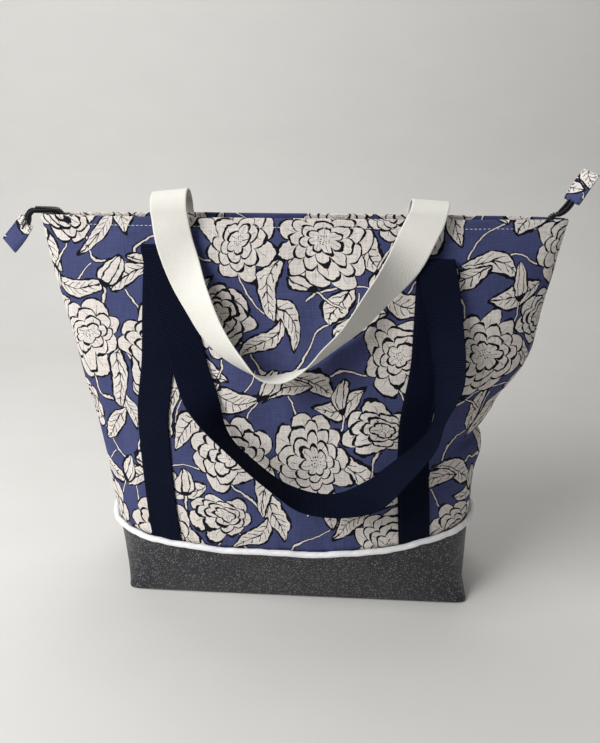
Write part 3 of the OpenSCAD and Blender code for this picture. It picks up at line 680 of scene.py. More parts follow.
panel_steps = np.linspace(0, 1, 121) ** 1.1
PANEL_SLOPE = 1.03
HEM_TURNS, HEM_TURN_L = np.radians([30, 60, 90, 120, 150, 180]), 1.0
HEM_DROPS, HEM_DROP_L = (6.0, 12.0, 22.0), 6.0
PRINT_START = {FRONT: (12.0, 30.0), BACK: (70.0, 95.0)}
panels = {}
for side, label in SIDES:
    fine = np.linspace(-1, 1, 241)
    low = seam_z(fine * TOP_W / 2) + SEAM_LAP
    rows, heights = [], []
    for t in panel_steps:
        z = mix(low, BAG_H - HEM_R, t)
        rows.append(at_share(fine, z, side, rumple(fine, z, side)))
        heights.append((z - SEAM_H) * PANEL_SLOPE)
    rim = rumple(fine, BAG_H - HEM_R, side)
    for a in HEM_TURNS:
        rows.append(at_share(fine, fine * 0 + BAG_H - HEM_R, side, rim - HEM_R * (1 - math.cos(a))))
        rows[-1][:, 2] += HEM_R * math.sin(a)
        heights.append(heights[-1] + HEM_TURN_L)
    for drop in HEM_DROPS:
        z = fine * 0 + BAG_H - HEM_R - drop
        rows.append(at_share(fine, z, side, rumple(fine, z, side) - 2 * HEM_R))
        heights.append(heights[-1] + HEM_DROP_L)
    points, heights = np.array(rows), np.array(heights)
    across = np.broadcast_to(fine * TOP_W / 2, heights.shape)
    uv = np.stack([across + PRINT_START[side][0], heights + PRINT_START[side][1]], -1)
    if side == BACK:
        points, uv = points[:, ::-1], uv[:, ::-1]
    panels[side] = grid_piece(label + "_panel_cotton", points, cotton, uv)
    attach(panels[side], "bag")
    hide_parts(label + "_panel")

# Fleece interlining
# A soft white fleece behind each panel, which lets it stand up by itself. It is cut a little shorter
# than the panel and caught in the same seams.
FLEECE_IN = 1.7
FLEECE_LOW, FLEECE_TRIM = 1.0, 2.5
ABOVE_TUCK = 3.0

# Fleece: matted short fibres, warm white, with no gloss at all.
TUFT = 2.0 * MM
fleece = mottled("polyester_fleece", TUFT, 4.0, ("#dcd9d2", "#f0eee9"), (0.95, 0.95), (0.6, 0.8 * MM))


def inner_layer(side, inward, heights):
    """Points and UVs of a layer this far inside the panel, at these rows of heights."""
    seam = seam_z(shares * TOP_W / 2)
    follow = np.clip(heights / seam, 0, 1) * rumple(shares, np.maximum(heights, seam + ABOVE_TUCK), side)
    points = at_share(shares, heights, side, follow - inward)
    uv = np.stack(np.broadcast_arrays(shares * TOP_W / 2, heights), -1)
    return (points, uv) if side == FRONT else (points[:, ::-1], uv[:, ::-1])


rise = np.linspace(0, 1, 81)[:, None]
for side, label in SIDES:
    heights = mix(seam_z(shares * TOP_W / 2) + FLEECE_LOW, BAG_H - FLEECE_TRIM, rise)
    points, uv = inner_layer(side, FLEECE_IN, heights)
    padding = grid_piece(label + "_fleece", points, fleece, uv)
    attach(padding, "bag")
    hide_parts(label + "_interlining")

# Lining
# Plain cotton on the front and the back from the floor up to the turned-in top edge, and a loose floor
# over the board.
LINING_IN = 3.7
LINING_BELOW_TOP = 5.0
FLOOR_Z, FLOOR_INSET, FLOOR_WAVE = 5.3, 0.02, 0.2

# Plain cotton: a matt cream weave, with painted shade that darkens it between the threads. The threads are
# drawn about three times as coarse, to show.
LINING_THREAD = 1.0 * MM
lining_cotton, tree = new_material("plain_lining_cotton")
cloth_uv = add(tree, "UVMap", uv_map="cloth")
threads = plain_weave(tree, cloth_uv, LINING_THREAD)
# Painted shade: the colour follows the threads' height, darker where they dip.
lining_painted_shade = add(tree, "MixRGB", [threads, linear("#d9d3c6"), linear("#e8e3d8")])
finish_material(tree, (threads, 0.3, 0.3 * MM), Base_Color=lining_painted_shade, Roughness=0.85)

floor_edges = []
for side, label in SIDES:
    heights = mix(FLOOR_Z, BAG_H - LINING_BELOW_TOP, rise) + shares * 0
    points, uv = inner_layer(side, LINING_IN, heights)
    floor_edges.append(points[0] if side == FRONT else points[0][::-1])
    inside = grid_piece(label + "_lining_cotton", points, lining_cotton, uv)
    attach(inside, "bag")
    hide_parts(label + "_lining")

across_floor = np.linspace(FLOOR_INSET, 1 - FLOOR_INSET, 31)[:, None, None]
floor_points = mix(floor_edges[0], floor_edges[1], across_floor)
floor_points[..., 2] += FLOOR_WAVE * (1 + ripple(floor_points[..., 0] / 17 + floor_points[..., 1] / 23, 7.0))
floor_cloth = grid_piece("floor_lining_cotton", floor_points, lining_cotton, floor_points[..., :2])
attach(floor_cloth, "bag")
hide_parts("base_lining")

# Zip facings
# A strip of the printed cotton on each side that joins the zip's tape to the lining, so that the zip
# lies below the top edge.
ZIP_Z, ZIP_SEWN_X = 341.0, 178.0
TAPE_FOOT = 6.2
FACING_START, FACING_REACH = 10.0, 20.0
FACING_T, FACING_SAG = 0.5, 1.2
FACING_OUT, FACING_IN = 0.3, 0.6
FACING_PRINT, FACING_APART = 40, 20

for side, label in SIDES:
    x = np.linspace(-ZIP_SEWN_X, ZIP_SEWN_X, 90)
    low = x * 0 + ZIP_Z - FACING_REACH
    top_line = np.stack([x, x * 0 + side * (TAPE_FOOT + FACING_OUT), x * 0 + ZIP_Z - FACING_START], -1)
    low_line = wall(x, low, side, rumple(x / (TOP_W / 2), low, side) - LINING_IN - FACING_IN)
    down = np.linspace(0, 1, 9)[:, None, None]
    points = mix(top_line, low_line, down)
    points[..., 2] -= FACING_SAG * np.sin(math.pi * down[..., 0])
    uv = np.stack([points[..., 0] + FACING_PRINT, points[..., 2] + side * FACING_APART], -1)
    strip = grid_piece(label + "_facing_strip", points[::-side], cotton, uv[::-side], thick=FACING_T)
    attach(strip, "bag")
    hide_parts(label + "_zip_facing")

# Front handle
# One length of navy cotton webbing, sewn flat up both sides of the front panel. It folds forwards below
# the top edge, lower on the right, and hangs free as a loop, which has turned on edge at the bottom.
LEFT, RIGHT = -1, 1
HANDS = ((LEFT, "left"), (RIGHT, "right"))
WEB_W, WEB_T = 30.0, 1.4
LEG_OFF = 1.05
LEG_X = {FRONT: 113.0, BACK: 106.0}
LEG_TOP = {FRONT: {LEFT: 327.0, RIGHT: 318.5}, BACK: {LEFT: 351.0, RIGHT: 351.0}}
FOLD_AT = {LEFT: (-24.2, 331.0), RIGHT: (-26.3, 322.5)}
FOLD_R = 3.2
PANEL_LEAN = math.radians(14)
# How far each leg bows sideways on its panel, in mm.
LEG_BOW = {FRONT: {LEFT: -6.0, RIGHT: -2.0}, BACK: {LEFT: 1.5, RIGHT: 2.5}}


def webbing(name, hollow_shade, raised, rib, slant, worn, gloss):
    """Cotton webbing: raised ribs this far apart in metres, at a slant, rubbed to a worn shade in places, and
    darker in the hollows between the ribs as painted shade.
    """
    made, tree = new_material(name)
    cloth_uv = add(tree, "UVMap", uv_map="cloth")
    along, over = add(tree, "SeparateXYZ", [cloth_uv], output=(0, 1))
    leaned = add(tree, "Math", [over, slant, along], "MULTIPLY_ADD")
    turn = add(tree, "Math", [leaned, 2 * math.pi / rib], "MULTIPLY")
    ribs = add(tree, "Math", [turn], "SINE")
    warp = add(tree, "Math", [over, 2 * math.pi / (0.75 * rib)], "MULTIPLY")
    warp = add(tree, "Math", [warp], "SINE")
    woven = add(tree, "Math", [warp, 0.45, ribs], "MULTIPLY_ADD")
    fuzz = add(tree, "TexNoise", {"Vector": cloth_uv, "Scale": 900.0, "Detail": 3.0})
    woven = add(tree, "Math", [fuzz, 1.4, woven], "MULTIPLY_ADD")
    level = add(tree, "MapRange", [woven, -1.0, 2.2, 0.0, 1.0])
    # Painted shade: the hollows between the ribs take the darker colour and the raised ribs the paler one.
    colour = add(tree, "MixRGB", [level, hollow_shade, raised])
    wear = add(tree, "TexNoise", {"Vector": cloth_uv, "Scale": 35.0, "Detail": 3.0})
    wear = add(tree, "MapRange", [wear, 0.35, 0.75, 0.0, 0.35])
    colour = add(tree, "MixRGB", [wear, colour, worn])
    finish_material(tree, (level, 0.55, 0.5 * MM), Base_Color=colour, Roughness=0.8, Specular_IOR_Level=gloss)
    return made


# Navy webbing: a dense ribbed weave, with painted shade that is almost black in the hollows. Ribs of 1 mm
# are drawn 1.8 mm apart.
NAVY_HOLLOW_SHADE, NAVY_RAISED, NAVY_WORN = linear("#020307"), linear("#171d32"), linear("#0a0e1a")
navy_webbing = webbing("navy_cotton_webbing", NAVY_HOLLOW_SHADE, NAVY_RAISED, 1.8 * MM, 0.0, NAVY_WORN, 0.04)

bend = np.array([-1, -0.985, -0.94, -0.86, -0.6, -0.3, 0, 0.3, 0.6, 0.86, 0.94, 0.985, 1]) * WEB_W / 2
plump = np.array([0.3, 0.75, 1.0, 0.92, 0.9, 0.92, 0.94, 0.92, 0.9, 0.92, 1.0, 0.75, 0.3]) * WEB_T / 2
ring_across = np.concatenate([bend, bend[::-1]])
ring_out = np.concatenate([plump, -plump[::-1]])
ring_v = ring_across + np.where(ring_out > 0, 0.0, 3 * WEB_W)


def leg_middle(side, hand, z):
    """Distance along the cloth to the middle of a sewn leg at these heights."""
    rise = np.clip((z - SEAM_H) / (LEG_TOP[side][hand] - SEAM_H), 0, 1)
    return hand * LEG_X[side] + LEG_BOW[side][hand] * np.sin(math.pi * rise ** 0.8)


def sewn_leg(name, hand, side, material):
    """The part of a handle that is sewn flat on its panel, from the seam up."""
    z = np.linspace(seam_z(hand * LEG_X[side]) + SEAM_LAP, LEG_TOP[side][hand], 90)[:, None]
    points = cloth(leg_middle(side, hand, z) + ring_across, z, side, LEG_OFF + ring_out)
    uv = np.stack(np.broadcast_arrays(z, ring_v), -1)
    made = grid_piece(name, points, material, uv, closed=True)
    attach(made, "bag")
    return made


def spread_points(knots, step):
    """Even points on a smooth curve through rows of knots, whose first three columns are the place."""
    knots = np.array(knots, float)
    padded = np.concatenate([2 * knots[:1] - knots[1:2], knots, 2 * knots[-1:] - knots[-2:-1]])
    t = np.linspace(0, 1, 12, endpoint=False)[:, None]
    pieces = []
    for a, b, c, d in zip(padded, padded[1:], padded[2:], padded[3:]):
        pieces.append(b + (c - a) * t / 2 + (2 * a - 5 * b + 4 * c - d) * t ** 2 / 2
                      + (3 * b - a - 3 * c + d) * t ** 3 / 2)
    curve = np.concatenate(pieces + [knots[-1:]])
    run = running_length(curve[:, :3])
    even = np.linspace(0, run[-1], int(run[-1] / step) + 1)
    return sample(even, run, curve)


def settle(rows, times):
    """Smooths rows of numbers along their length, with both ends kept."""
    for _ in range(times):
        rows[1:-1] = (rows[:-2] + 2 * rows[1:-1] + rows[2:]) / 4
    return rows


# Half the width over which a leg lifts the loop off the panel, and how far it lifts it, in mm.
LEG_CLEAR, LEG_STAND = 17.0, 1.7


def keep_off(points, gap):
    """Moves points of a loop forwards where they would come nearer to the front or its legs than this gap."""
    x, z = points[..., 0], np.clip(points[..., 2], SEAM_H, BAG_H)
    s = x
    for _ in range(3):
        s = s + x - cloth(s, z, FRONT, 0)[..., 0]
    over_leg = np.exp(-((np.abs(x) - LEG_X[FRONT]) / LEG_CLEAR) ** 8)
    limit = cloth(s, z, FRONT, gap + LEG_STAND * over_leg)[..., 1]
    points[..., 1] = np.where(points[..., 2] < BAG_H, np.minimum(points[..., 1], limit), points[..., 1])
    return points


def tilted(rows):
    """Directions from left to right across bent webbing, tilted by the angle in the fourth column."""
    angle = np.radians(rows[:, 3])
    return np.stack([np.cos(angle), angle * 0, np.sin(angle)], -1)


# Step along a loop in mm, and how often its line and then its directions are smoothed.
LOOP_STEP, LINE_SOFT, TURN_SOFT = 3.0, 6, 3


def free_loop(name, start, knots, end, material, gap):
    """A handle's free webbing: two bent ends and the knots between, all rows of a place and a roll."""
    curve = settle(spread_points(knots, LOOP_STEP), LINE_SOFT)
    path, roll = curve[:, :3], np.radians(curve[:, 3])[:, None]
    out = np.array([0, -math.cos(PANEL_LEAN), math.sin(PANEL_LEAN)])
    along = unit(np.gradient(path, axis=0))
    flat = unit(np.cross(along, out))
    across = flat * np.cos(roll) + np.cross(flat, along) * np.sin(roll)
    path = np.concatenate([start[:, :3], path, end[:, :3]])
    across = unit(settle(np.concatenate([-tilted(start), across, tilted(end)]), TURN_SOFT))
    along = unit(np.gradient(path, axis=0))
    normal = unit(np.cross(across, along))
    points = path[:, None] + across[:, None] * ring_across[:, None] + normal[:, None] * ring_out[:, None]
    hanging = slice(len(start), len(points) - len(end))
    points[hanging] = keep_off(points[hanging], gap)
    uv = np.stack(np.broadcast_arrays(running_length(path)[:, None], ring_v), -1)
    return grid_piece(name, points, material, uv, closed=True)


for hand, label in HANDS:
    leg = sewn_leg("front_%s_webbing" % label, hand, FRONT, navy_webbing)
    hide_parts("front_%s_leg" % label)


FOLD_TURN = 170


def fold_points(hand):
    """Where the webbing leaves its leg and folds forwards, from the leg to the loop."""
    fold_y, fold_z = FOLD_AT[hand]
    x = hand * LEG_X[FRONT]
    rows = [(*cloth(x, LEG_TOP[FRONT][hand], FRONT, LEG_OFF), 0.0)]
    for turn in np.radians(np.linspace(0, FOLD_TURN, 12)):
        rows.append((x, fold_y + FOLD_R * math.cos(turn), fold_z + FOLD_R * math.sin(turn), 0.0))
    return np.array(rows)


# Middle line of the loop from left to right: a place in mm and the roll of the webbing in degrees.
NAVY_KNOTS = [
    (-112, -28, 327, 0), (-109, -31, 314, 1), (-103, -37, 291, 3), (-93, -47, 255, 6), (-83, -57, 222, 13),
    (-69, -74, 200, 62), (-54, -81, 181, 87), (-33, -86, 162, 87), (-12, -90, 146, 86), (8, -91, 134, 74),
    (32, -91, 130, 72), (53, -88, 132, 61), (69, -83, 137, 43), (86, -79, 152, 57), (115, -68, 181, 77),
    (121, -65, 203, 84), (127, -57, 227, 46), (126, -51, 247, 31), (122, -41, 274, 9), (118, -34, 301, 2),
    (114, -30, 318.5, 0)]
LOOP_GAP = 1.4
left_fold, right_fold = fold_points(LEFT), fold_points(RIGHT)[::-1]
navy_loop = free_loop("front_handle_webbing", left_fold, NAVY_KNOTS, right_fold, navy_webbing, LOOP_GAP)
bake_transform(navy_loop)
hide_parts("front_left_fold", "front_right_fold", "front_handle_loop")

# Back handle
# One length of white cotton webbing, sewn up the back panel in the same way. It arches over both top
# edges and its loop lies over the front, on top of the navy one, with its inner edge off the panel.
ARCH_Y, ARCH_Z, ARCH_R = -4.89, 358.0, 17.0
ARCH_TURN, ARCH_DRIFT = 172, 2.5
ARCH_RISE = {LEFT: 17.0, RIGHT: 10.5}
ARCH_TILT = {LEFT: 6.0, RIGHT: -4.0}
ARCH_LEAN = {LEFT: 0.5, RIGHT: 3.0}

# White webbing: a smooth fine twill, with painted shade that greys it in the hollows. Its slanting ribs of
# 0.8 mm are drawn 1.5 mm apart.
WHITE_HOLLOW_SHADE, WHITE_RAISED, WHITE_WORN = linear("#d9d6cd"), linear("#f8f6ef"), linear("#ebe8e0")
white_webbing = webbing("white_cotton_webbing", WHITE_HOLLOW_SHADE, WHITE_RAISED, 1.5 * MM, 0.9, WHITE_WORN, 0.15)

for hand, label in HANDS:
    leg = sewn_leg("back_%s_webbing" % label, hand, BACK, white_webbing)
    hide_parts("back_%s_leg" % label)


def arch_points(hand):
    """Where the webbing runs from the top of its leg over the top edges of the bag."""
    rows = [(*cloth(hand * LEG_X[BACK], LEG_TOP[BACK][hand], BACK, LEG_OFF), 0.0)]
    for turn in np.radians(np.linspace(0, ARCH_TURN, 26)):
        x = hand * (LEG_X[BACK] - ARCH_DRIFT * turn / math.pi + ARCH_LEAN[hand] * math.sin(turn))
        z = ARCH_Z + ARCH_RISE[hand] * math.sin(turn)
        rows.append((x, ARCH_Y + ARCH_R * math.cos(turn), z, ARCH_TILT[hand] * math.sin(turn)))
    return np.array(rows)


WHITE_KNOTS = [
    (-103, -22.3, 356, 0), (-100, -27.4, 340, 8), (-94, -33.1, 323, 2), (-87, -40, 306, -16),
    (-78, -48.2, 290, -30), (-69, -53.6, 273, -38), (-57, -59.4, 259, -49), (-42, -65.6, 247, -65),
    (-27, -69, 236, -84), (-8, -67.7, 236, -96), (10, -66.7, 244, -85), (24, -59.4, 255, -74),
    (39, -57, 268, -68), (52, -51.6, 281, -56), (64, -45.8, 296, -47), (76, -39.9, 310, -35),
    (87, -35, 325, -14), (95, -27.4, 340, 5), (103, -22.3, 356, 0)]
left_arch, right_arch = arch_points(LEFT), arch_points(RIGHT)[::-1]
white_loop = free_loop("back_handle_webbing", left_arch, WHITE_KNOTS, right_arch, white_webbing, LOOP_GAP)
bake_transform(white_loop)
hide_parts("back_left_arch", "back_right_arch", "back_handle_loop")

# Stitching
# White polyester thread: bars of dense stitches that end the sewn legs, one row below the top edge, and
# a row along each side of the legs in thread of the webbing's colour.
THREAD_R, PLY = 0.27, 0.6 * MM
STITCH_L, STITCH_GAP = 2.8, 0.9
STITCH_IN, STITCH_OUT = 2.6, 0.15
LEG_ROW_LOW, LEG_ROW_TOP = 4, 6
BAR_L, BAR_H, BAR_TURNS, BAR_LIFT = 20.0, 3.0, 16, 0.2
BAR_BELOW = {FRONT: 11.0, BACK: 35.0}


def thread(name, shade, painted_gleam):
    """Polyester sewing thread: fine plies twisted round each other, with a slight gloss, painted darker in
    the grooves between the plies as painted shade and lighter on their crests as a painted highlight.
    """
    made, tree = new_material(name)
    place = add(tree, "TexCoord", output="Object")
    plies = add(tree, "TexWave", {"Vector": place, "Scale": WAVE_PERIOD / PLY}, output=1,
                bands_direction="DIAGONAL")
    # Painted shade and highlight: the plies' colour runs from the shaded to the gleaming colour with their
    # twist.
    colour = add(tree, "MixRGB", [plies, shade, painted_gleam])
    finish_material(tree, (plies, 0.4, 0.2 * MM), Base_Color=colour, Roughness=0.6, Specular_IOR_Level=0.2)
    return made


# Each thread gets a painted shade colour for its grooves and a painted highlight colour for its plies.
white_thread = thread("white_polyester_thread", linear("#d6d4cd"), linear("#f3f2ee"))
navy_thread = thread("navy_polyester_thread", linear("#04060d"), linear("#0f1528"))
grey_thread = thread("grey_polyester_thread", linear("#3c3d42"), linear("#63646a"))


def stitches(name, rows, material):
    """Rows of short stitches along paths, each path with its outward directions; one mesh for all."""
    t = np.linspace(0, 1, 5)
    swell = np.array([0.45, 0.95, 1.0, 0.95, 0.45]) * THREAD_R
    dip = np.array([-0.7, 0.2, 0.4, 0.2, -0.7]) * THREAD_R
    angle = np.linspace(0, 2 * math.pi, 6, endpoint=False)
    tubes = []
    for path, out in rows:
        run = running_length(path)
        starts = np.arange(0, run[-1] - STITCH_L, STITCH_L + STITCH_GAP)
        at = starts[:, None] + t * STITCH_L
        place = sample(at, run, path)
        up = unit(sample(at, run, out))
        along = unit(np.gradient(place, axis=1))
        beside = np.cross(along, up)
        ring = beside[..., None, :] * np.cos(angle)[:, None] + up[..., None, :] * np.sin(angle)[:, None]
        tubes.append((place + up * dip[:, None])[..., None, :] + ring * swell[:, None, None])
    tubes = np.concatenate(tubes)
    count, rings, sides = tubes.shape[:3]
    one = quads(rings, sides, True)
    faces = [tuple(k * rings * sides + i for i in quad) for k in range(count) for quad in one]
    mesh = bpy.data.meshes.new(name)
    mesh.from_pydata((tubes.reshape(-1, 3) * MM).tolist(), [], faces)
    made = link_piece(name, mesh, material)
    return made


def row_on(path_of, lift):
    """A path on the bag and its outward directions, from a function of how far out it lies."""
    return path_of(lift), unit(path_of(lift + 1) - path_of(lift))


for side, label in SIDES:
    along = np.linspace(-0.985, 0.985, 300)
    top_row = row_on(lambda off: at_share(along, BAG_H - STITCH_BELOW + along * 0, side,
                                          off + rumple(along, BAG_H - STITCH_BELOW, side)), STITCH_OUT)
    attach(stitches(label + "_edge_stitches", [top_row], white_thread), "bag")
    rows = []
    for hand, _ in HANDS:
        up = np.linspace(seam_z(hand * LEG_X[side]) + LEG_ROW_LOW, LEG_TOP[side][hand] - LEG_ROW_TOP, 120)
        for edge in (-1, 1):
            aside = leg_middle(side, hand, up) + edge * (WEB_W / 2 - STITCH_IN)
            rows.append(row_on(lambda off: cloth(aside, up, side, off), LEG_OFF + 0.46 * WEB_T))
    leg_thread = navy_thread if side == FRONT else white_thread
    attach(stitches(label + "_leg_stitches", rows, leg_thread), "bag")

zigzags = []
for side, label in SIDES:
    for hand, hand_label in HANDS:
        bar_z = LEG_TOP[side][hand] - BAR_BELOW[side]
        steps = np.linspace(0, 1, 8 * BAR_TURNS + 1)
        across = leg_middle(side, hand, bar_z) + BAR_L * (steps - 0.5)
        up = bar_z + BAR_H * np.abs(2 * ((steps * BAR_TURNS) % 1) - 1)
        path, out = row_on(lambda off: cloth(across, up, side, off), LEG_OFF + WEB_T / 2 + BAR_LIFT)
        zigzags.append(tube("%s_%s_bar" % (label, hand_label), path, out, THREAD_R, white_thread, sides=6))
for bar in zigzags:
    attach(bar, "bag")
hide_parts("handle_bartacks")

# Zip
# A black nylon coil zip. Each woven tape carries one half of the coil, a single nylon wire wound in a
# spiral, and is sewn to its facing along the edge that hangs down.
CLIMB_L, HINGE_Z = 16.0, 357.2
CLIMB_AT = {LEFT: 191.0, RIGHT: 194.0}
END_ROLL = {LEFT: math.radians(30), RIGHT: 0.0}
LEFT_HINGE_X, RIGHT_HINGE_X = -226.0, 212.0
COIL_IN, COIL_OUT, COIL_H = 0.62, 3.0, 2.2
TAPE_T, TAPE_EDGE, TAPE_TOP, TAPE_DROP = 0.6, 3.6, -0.3, 12.0
TAPE_W, TAPE_CLEAR, TAPE_MET = 16, 0.2, 0.1
TAPES_MEET_X, MEET_OVER = 184.0, 8.0
SEWN_MARGIN, SEWN_OVER, FLAT_SHARE = 1, 12, 0.3
COIL_PITCH, WIRE_R, COIL_TRIM = 1.7, 0.5, 0.5

# Zip tape: black polyester in a close herringbone, drawn coarse enough to show, with painted shade that
# darkens the hollows of the herringbone.
TAPE_RIB = 1.2 * MM
zip_tape, tree = new_material("black_polyester_tape")
cloth_uv = add(tree, "UVMap", uv_map="cloth")
chevron = add(tree, "TexWave", {"Vector": cloth_uv, "Scale": WAVE_PERIOD / TAPE_RIB, "Distortion": 1.0},
              output=1, bands_direction="DIAGONAL")
# Painted shade: the colour follows the herringbone's height, darker in its hollows.
tape_painted_shade = add(tree, "MixRGB", [chevron, linear("#101014"), linear("#222228")])
finish_material(tree, (chevron, 0.5, 0.3 * MM), Base_Color=tape_painted_shade, Roughness=0.75,
                Specular_IOR_Level=0.12)

# Zip coil: black nylon wire, smooth with a soft gloss and slightly cloudy from handling.
CLOUD = 1 / 120
zip_coil = mottled("black_nylon", CLOUD, 2.0, ("#16161a", "#24242a"), (0.28, 0.42), IOR=1.53)


def zip_line(x):
    """Points on the middle of the zip: level between the sewn ends, then up over the side seams."""
    start = np.where(x < 0, CLIMB_AT[LEFT], CLIMB_AT[RIGHT])
    climb = ease((np.abs(x) - start) / CLIMB_L)
    return np.stack([x, x * 0, ZIP_Z + climb * (HINGE_Z - ZIP_Z - TAPE_TOP + TAPE_T / 2)], -1)


def zip_across(x):
    """Directions across the zip, which turns to face outwards at its left end."""
    full = np.where(x < 0, END_ROLL[LEFT], END_ROLL[RIGHT])
    roll = full * ease((np.abs(x) - CLIMB_AT[LEFT]) / (np.abs(LEFT_HINGE_X) - CLIMB_AT[LEFT]))
    return np.stack([x * 0, np.cos(roll), np.sin(roll)], -1)


def coil_half(name, middle, across, side):
    """One half of the coil, a wire wound along the middle line of the zip on one side of it."""
    run = running_length(middle)
    turns = run[-1] / COIL_PITCH
    wind = np.linspace(0, turns, int(turns * 9))
    turn = 2 * math.pi * wind + (math.pi if side == BACK else 0)
    along = unit(np.gradient(middle, axis=0))
    up = unit(np.cross(along, across))
    up = up * np.where(up[:, 2:] < 0, -1, 1)[:1]
    wound = wind * COIL_PITCH
    place, beside, above, ahead = [sample(wound, run, rows) for rows in (middle, across, up, along)]
    reach = (COIL_OUT + COIL_IN) / 2 - ((COIL_OUT - COIL_IN) / 2 - WIRE_R) * np.cos(turn)
    lift = COIL_H / 2 + (COIL_H / 2 - WIRE_R) * np.sin(turn)
    path = place + beside * side * reach[:, None] + above * lift[:, None]
    made = tube(name, path, ahead, WIRE_R, zip_coil, sides=6)
    return made


for side, label in SIDES:
    x = np.linspace(LEFT_HINGE_X, RIGHT_HINGE_X, 260)
    sewn = ease((ZIP_SEWN_X + SEWN_MARGIN - np.abs(x)) / SEWN_OVER)[:, None]
    down = np.linspace(0, 1, 12)
    meeting = mix(COIL_IN + TAPE_CLEAR, TAPE_MET, ease((np.abs(x) - TAPES_MEET_X) / MEET_OVER))[:, None]
    flat_y = mix(meeting, TAPE_EDGE, np.clip(down / FLAT_SHARE, 0, 1))
    hang = np.clip((down - FLAT_SHARE) / (1 - FLAT_SHARE), 0, 1)
    y = flat_y + sewn * (TAPE_FOOT - TAPE_EDGE) * hang ** 0.7
    up = TAPE_TOP - 0.02 * hang - sewn * TAPE_DROP * hang ** 1.3
    points = zip_line(x)[:, None] + zip_across(x)[:, None] * (side * y)[..., None]
    points[..., 2] += up
    uv = np.stack(np.broadcast_arrays(x[:, None], down * TAPE_W), -1)
    tape = grid_piece(label + "_tape", points[:, ::-side], zip_tape, uv[:, ::-side], thick=TAPE_T)
    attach(tape, "bag")
    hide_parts(label + "_zip_tape")
    x = np.linspace(LEFT_HINGE_X + COIL_TRIM, RIGHT_HINGE_X - COIL_TRIM, 400)
    coil = coil_half(label + "_coil", zip_line(x), zip_across(x), side)
    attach(coil, "bag")
    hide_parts(label + "_zip_coil")

# Zip slider and pull
# A die-cast slider in a dark grey finish: a cover plate with flanges over the coil, a sole below, and
# two ears with a pin, on which the flat pull turns.
SLIDER_X, SLIDER_L, SLIDER_W = -174.0, 12.0, 8.4
COVER_Z, COVER_T, SOLE_Z, SOLE_T, SOLE_W = 2.5, 1.4, -2.0, 0.8, 5.2
PIN_X, PIN_Z, PIN_D, EYE_R, EYE_W, EAR_T, EAR_Y = -2.0, 6.4, 1.6, 2.2, 3.4, 1.0, 2.0
PULL_L, PULL_W, PULL_T, PULL_DROOP, NECK_L, NECK_RUN = 24.0, 7.0, 1.4, 7.0, 5.0, 2.0
COVER_CORNER, SOLE_CORNER, POST_CORNER = 2.2, 1.5, 0.4
POST_LAP, POST_LIFT = 0.3, 0.4
FLANGE_T, FLANGE_LOW, FLANGE_LAP = 0.9, 0.3, 0.8
EAR_LAP, EYE_PLAY, NECK_LAP = 1.0, 0.3, 0.5

# Plated zinc: a dark nickel plating, smooth with fine rubbed marks and brighter where it is handled.
SCRATCH = 0.8 * MM
zip_metal = mottled("plated_zinc", SCRATCH, 4.0, ("#5c5e63", "#84868b"), (0.26, 0.42), Metallic=1.0)


def bevelled_plate(into, outlines, thick, bevel, place):
    """Adds a flat plate with rounded edges to a mesh under construction; later outlines are holes."""
    drawing = bpy.data.curves.new("outline", "CURVE")
    drawing.dimensions = "2D"
    drawing.fill_mode = "BOTH"
    drawing.extrude = thick / 2 - bevel
    drawing.bevel_depth = bevel
    drawing.bevel_resolution = 2
    drawing.offset = -bevel
    for outline_points in outlines:
        spline = drawing.splines.new("POLY")
        spline.points.add(len(outline_points) - 1)
        spline.points.foreach_set("co", [q for x, y in outline_points for q in (x, y, 0.0, 1.0)])
        spline.use_cyclic_u = True
    holder = bpy.data.objects.new("outline", drawing)
    made = holder.to_mesh()
    made.transform(place)
    into.from_mesh(made)
    holder.to_mesh_clear()
    bpy.data.objects.remove(holder)
    bpy.data.curves.remove(drawing)


def rounded(x0, x1, half_w, corner):
    """A rectangle from x0 to x1 with rounded corners."""
    points = []
    for cx, cy, first in ((x1 - corner, half_w - corner, 0), (x0 + corner, half_w - corner, 90),
                          (x0 + corner, corner - half_w, 180), (x1 - corner, corner - half_w, 270)):
        for a in np.radians(np.linspace(first, first + 90, 7)):
            points.append((cx + corner * math.cos(a), cy + corner * math.sin(a)))
    return points


def circle(x, y, r):
    return [(x + r * math.cos(a), y + r * math.sin(a)) for a in np.linspace(0, 2 * math.pi, 25)[:-1]]


def casting(name, build, body):
    """A metal piece at the slider's place on the zip, built in mm along it, across it and up."""
    parts = bmesh.new()
    build(parts)
    parts.transform(Matrix.Translation((SLIDER_X * MM, 0, ZIP_Z * MM)) @ Matrix.Scale(MM, 4))
    mesh = bpy.data.meshes.new(name)
    parts.to_mesh(mesh)
    parts.free()
    made = link_piece(name, mesh, zip_metal)
    mesh.set_sharp_from_angle(angle=math.radians(40))
    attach(made, body)
    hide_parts(body)


UPRIGHT = Matrix.Rotation(math.radians(90), 4, "X")


def moved(across, up):
    return Matrix.Translation((0, across, up))


